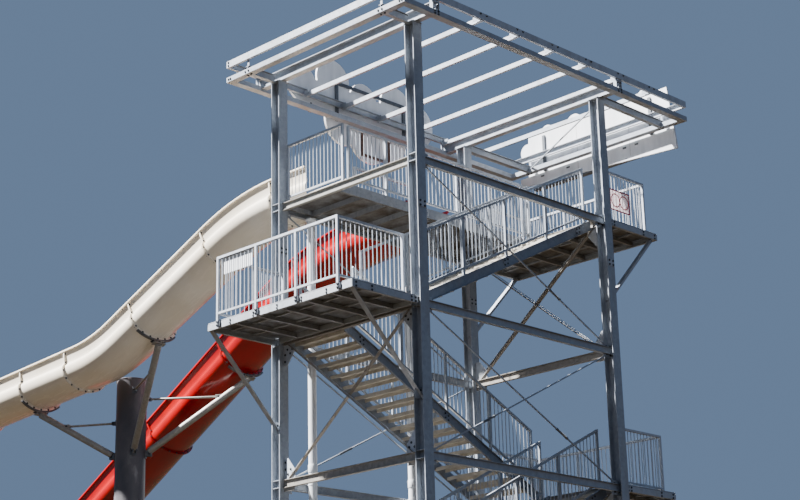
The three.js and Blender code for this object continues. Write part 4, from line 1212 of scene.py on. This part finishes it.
def makeSigns():
    s, smooth = signs, shaping["flatAngle"]
    sheet = lobedSheet(s["leftPanel"], s["leftLobes"], Matrix.Translation(at(s["left"], 0, 0)) @ alongY)
    finished([sheet], "leftSignSheet", signPaint, smooth, ["sign_board_left"])
    finished(signFrame(("leftPosts", "leftArms", "leftTop"), "Y"), "leftSignFrame", zinc["dark"], smooth,
             ["sign_board_left"])
    finished(signFrame(("rustyPosts", "rustyFoot"), "Y"), "leftSignRustyFrame", zinc["rusty"], smooth,
             ["sign_board_left"])
    sheet = lobedSheet(s["rearPanel"], s["rearLobes"], Matrix.Translation(at(0, s["rear"], 0)) @ alongX)
    finished([sheet], "rearSignSheet", signPaint, smooth, ["sign_board_rear"])
    keys = ("rearPosts", "rearArms", "rearRailLow", "rearRailHigh", "rearCleats")
    finished(signFrame(keys, "X"), "rearSignFrame", zinc["dark"], smooth, ["sign_board_rear"])
    finished(signFrame(("rearSeams",), "X", 0.0), "rearSignSeams", zinc["weathered"])
    boltsAt("signBolts", [(at(signBars["boltFace"], y, signBars["boltZ"]), (1, 0, 0))
                          for y in signBars["leftArms"][0]], s["boltSize"])


makeSigns()
print("tower: signs made")

# Plates hung on the guard rails: a plain white one, and one with a red border and two rings
railPlates = {
    "white": ((-1.57, -4.7, 12.42), (-0.7, -4.692, 12.77)),
    "edged": ((1.7095, 3.5, 14.8), (1.7135, 4.2, 15.29)), "edge": 0.001, "border": 0.03, "off": 0.0005,
    "inkThick": 0.001, "ring": 0.15, "ringLine": 0.012, "ringIn": 0.2,
}


def makeRailPlates():
    p, smooth = railPlates, shaping["flatAngle"]
    finished([spanBar(*p["white"], p["edge"])], "railPanelWhite", signPaint, smooth)
    finished([spanBar(*p["edged"], p["edge"])], "railPlateSheet", thinSheet, smooth)
    (_, nearY, lowZ), (farX, farY, highZ) = p["edged"]
    border, face = p["border"], farX + p["off"]
    strips = [spanBar((face, y0, z0), (face + p["inkThick"], y1, z1), 0.0) for y0, z0, y1, z1 in (
        (nearY, lowZ, farY, lowZ + border), (nearY, highZ - border, farY, highZ),
        (nearY, lowZ + border, nearY + border, highZ - border),
        (farY - border, lowZ + border, farY, highZ - border))]
    for y in (nearY + p["ringIn"], farY - p["ringIn"]):
        deselectAll()
        bpy.ops.mesh.primitive_torus_add(major_radius=p["ring"], minor_radius=p["ringLine"],
                                         major_segments=32,
                                         minor_segments=4, location=at(face, y, (lowZ + highZ) / 2),
                                         rotation=(0, math.pi / 2, 0))
        strips.append(bpy.context.object)
    finished(strips, "railPlateEdge", redPaint, smooth)


makeRailPlates()
print("tower: rail plates made")

# Water pipes: round pipes with sleeve couplings and strap clips
pipes = {
    "radius": 0.085, "sides": 32, "x": -1.8, "front": -2.17, "rear": 0.67,
    "couplings": (2.1, 5.2, 8.84, 11.4), "sleeveLong": 0.16, "sleeveGrow": 0.01, "capLong": 0.05,
    "capGrow": 0.025, "strapDrop": 0.023, "strapHalf": 0.02, "strapGrow": 0.006, "strapRoom": 0.06,
    "clipX": -1.87, "clip": (0.13, 0.04, 0.03),
}


def makePipe(name, node, y):
    p = pipes
    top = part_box(node)[1][2]
    foot, radius, sides = at(p["x"], y, 0), p["radius"], p["sides"]
    parts = [rod(foot, foot + up(top), radius, sides),
             rod(foot + up(top - p["capLong"]), foot + up(top), radius + p["capGrow"], sides, 0.004)]
    for z in p["couplings"]:
        ends = foot + up(z), foot + up(z + p["sleeveLong"])
        parts.append(rod(*ends, radius + p["sleeveGrow"], sides, 0.003))
    half = up(p["strapHalf"])
    for level in range(1, tower["storeys"] + 1):
        z = level * tower["storey"] - tower["beamTopBelowFloor"] - p["strapDrop"]
        if z + p["strapRoom"] < top:
            parts.append(rod(foot + up(z) - half, foot + up(z) + half, radius + p["strapGrow"], sides))
            parts.append(bar(at(p["clipX"], y, z), p["clip"], shaping["edge"]))
    finished(parts, name, pipePlastic, shaping["roundAngle"], [node])


makePipe("frontWaterPipe", "water_pipe_front", pipes["front"])
makePipe("rearWaterPipe", "water_pipe_rear", pipes["rear"])
print("tower: pipes made")

# Infill bars of the guard rails, from the foot rail to the top rail
infill = {
    "pitch": 0.112, "radius": 0.009, "sides": 8, "level": (0.13, 1.24), "sloping": (0.17, 1.25),
    "postAt": 0.04, "stairIn": 0.285,
    "deck": (((-1.8, -2.79), (-0.16, -2.79)), ((-0.16, -2.63), (-0.16, 2.72)),
             ((-1.8, -0.87), (-1.8, 0.87))),
}


# A row of upright bars between two posts, over a floor that may rise along the row
def barRow(start, end, floor, rise, heights):
    start, end = Vector(start), Vector(end)
    count = max(2, round((end - start).length / infill["pitch"]))
    step = (end - start) / count
    first = at(start.x + step.x, start.y + step.y, floor + rise / count)
    piece = rod(first + up(heights[0]), first + up(heights[1]), infill["radius"], infill["sides"])
    row = piece.modifiers.new("row", "ARRAY")
    row.count = count - 1
    row.use_relative_offset = False
    row.use_constant_offset = True
    row.constant_offset_displace = (step.x, step.y, rise / count)
    return applied(piece)


def makeInfill():
    t = tower
    run, inset = 2 * t["columnY"], infill["stairIn"]
    slope = t["storey"] / run
    for level in range(1, t["storeys"] + 1):
        side = t["landingSides"][level - 1]
        start = side * (t["columnY"] + t["columnHalf"] + infill["postAt"])
        corner = side * t["railY"]
        line = [(t["railX"], start), (t["railX"], corner), (-t["railX"], corner), (-t["railX"], start)]
        rows = [barRow(a, b, level * t["storey"], 0.0, infill["level"]) for a, b in zip(line, line[1:])]
        finished(rows, f"landingBars{level}", zinc["bright"], shaping["roundAngle"])
        rows = []
        for node in (f"stair_rail_{level}_inner", f"stair_rail_{level}_outer"):
            low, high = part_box(node)
            x = (low[0] + high[0]) / 2 - t["columnX"]
            near, far = side * (inset - t["columnY"]), side * (run - inset - t["columnY"])
            rows.append(barRow((x, near), (x, far), (level - 1) * t["storey"] + inset * slope,
                               (run - 2 * inset) * slope, infill["sloping"]))
        finished(rows, f"stairBars{level}", zinc["column"], shaping["roundAngle"])
    rows = [barRow(a, b, t["storeys"] * t["storey"], 0.0, infill["level"]) for a, b in infill["deck"]]
    finished(rows, "deckBars", zinc["bright"], shaping["roundAngle"])


makeInfill()
print("tower: rail bars made")

# Floor, light and the camera at the photograph's place; each lamp is given as its strength, the direction
# it comes from and the degrees it is wide
scenery = {
    "floor": "#716e69", "floorLight": "#7c7973", "grainMm": 666.7, "floorWide": 260, "floorDrop": -0.002,
    "above": "#9cbae6", "below": "#c2ac8b", "strength": 0.42, "belowTo": 0.43, "aboveFrom": 0.5,
    "lampHeight": 40, "lamps": ((34.0, (-0.62, -0.72, 1.25), 1.5), (1.2, (-0.3, 1.0, 0.5), 20)),
}


def makeStage():
    s = scenery
    material, tree, place = newMaterial("paleFloor")
    grain = addNode(tree, "ShaderNodeTexNoise", {
        "Vector": place, "Scale": perMetre(s["grainMm"]), "Detail": 3.0})
    colour = addNode(tree, "ShaderNodeValToRGB", {"Fac": grain}, [(0.3, s["floor"]), (0.7, s["floorLight"])])
    closeMaterial(material, tree, colour, addNode(tree, "ShaderNodeValToRGB", {
        "Fac": grain}, [(0, 0.8), (1, 0.9)]))
    deselectAll()
    bpy.ops.mesh.primitive_plane_add(size=s["floorWide"], location=(0, 0, s["floorDrop"]))
    floor = bpy.context.object
    floor.name = "studioFloor"
    floor.data.materials.append(material)
    floor.visible_diffuse = False                        # the world gives the soft light from below
    floor.visible_glossy = False
    world = bpy.data.worlds.new("studio")
    world.use_nodes = True
    tree = world.node_tree
    tree.nodes.clear()
    way = addNode(tree, "ShaderNodeTexCoord").outputs["Generated"]
    height = addNode(tree, "ShaderNodeSeparateXYZ", {"Vector": way}).outputs["Z"]
    share = addNode(tree, "ShaderNodeMapRange", {"Value": height, "From Min": -1.0, "From Max": 1.0})
    colour = addNode(tree, "ShaderNodeValToRGB", {
        "Fac": share}, [(s["belowTo"], s["below"]), (s["aboveFrom"], s["above"])])
    glow = addNode(tree, "ShaderNodeBackground", {"Color": colour, "Strength": s["strength"]})
    addNode(tree, "ShaderNodeOutputWorld", {"Surface": glow})
    bpy.context.scene.world = world
    for strength, direction, wide in s["lamps"]:
        bpy.ops.object.light_add(type="SUN", location=(0, 0, s["lampHeight"]))
        lamp = bpy.context.object
        lamp.data.energy = strength
        lamp.data.angle = math.radians(wide)
        lamp.rotation_euler = Vector(direction).to_track_quat("Z", "Y").to_euler()


camera = {
    "place": (23.4915, -25.3631, 2.4606), "yaw": 0.7748, "pitch": 0.3107, "roll": -0.0246,
    "focalPixels": 1732.35, "imageWidth": 800, "sensor": 36, "farthest": 500,
}


def makeCamera():
    c = camera
    forward = Vector((-math.sin(c["yaw"]) * math.cos(c["pitch"]), math.cos(c["yaw"]) * math.cos(c["pitch"]),
                      math.sin(c["pitch"])))
    right = forward.cross(up(1)).normalized()
    upward = right.cross(forward)
    cosine, sine = math.cos(c["roll"]), math.sin(c["roll"])
    axes = axesMatrix(right * cosine + upward * sine, upward * cosine - right * sine, -forward)
    bpy.ops.object.camera_add()
    view = bpy.context.object
    view.matrix_world = Matrix.Translation(at(*c["place"])) @ axes.to_4x4()
    view.data.sensor_width = c["sensor"]
    view.data.lens = c["sensor"] * c["focalPixels"] / c["imageWidth"]
    view.data.clip_end = c["farthest"]
    bpy.context.scene.camera = view


makeStage()
makeCamera()
print("tower: light and camera set")
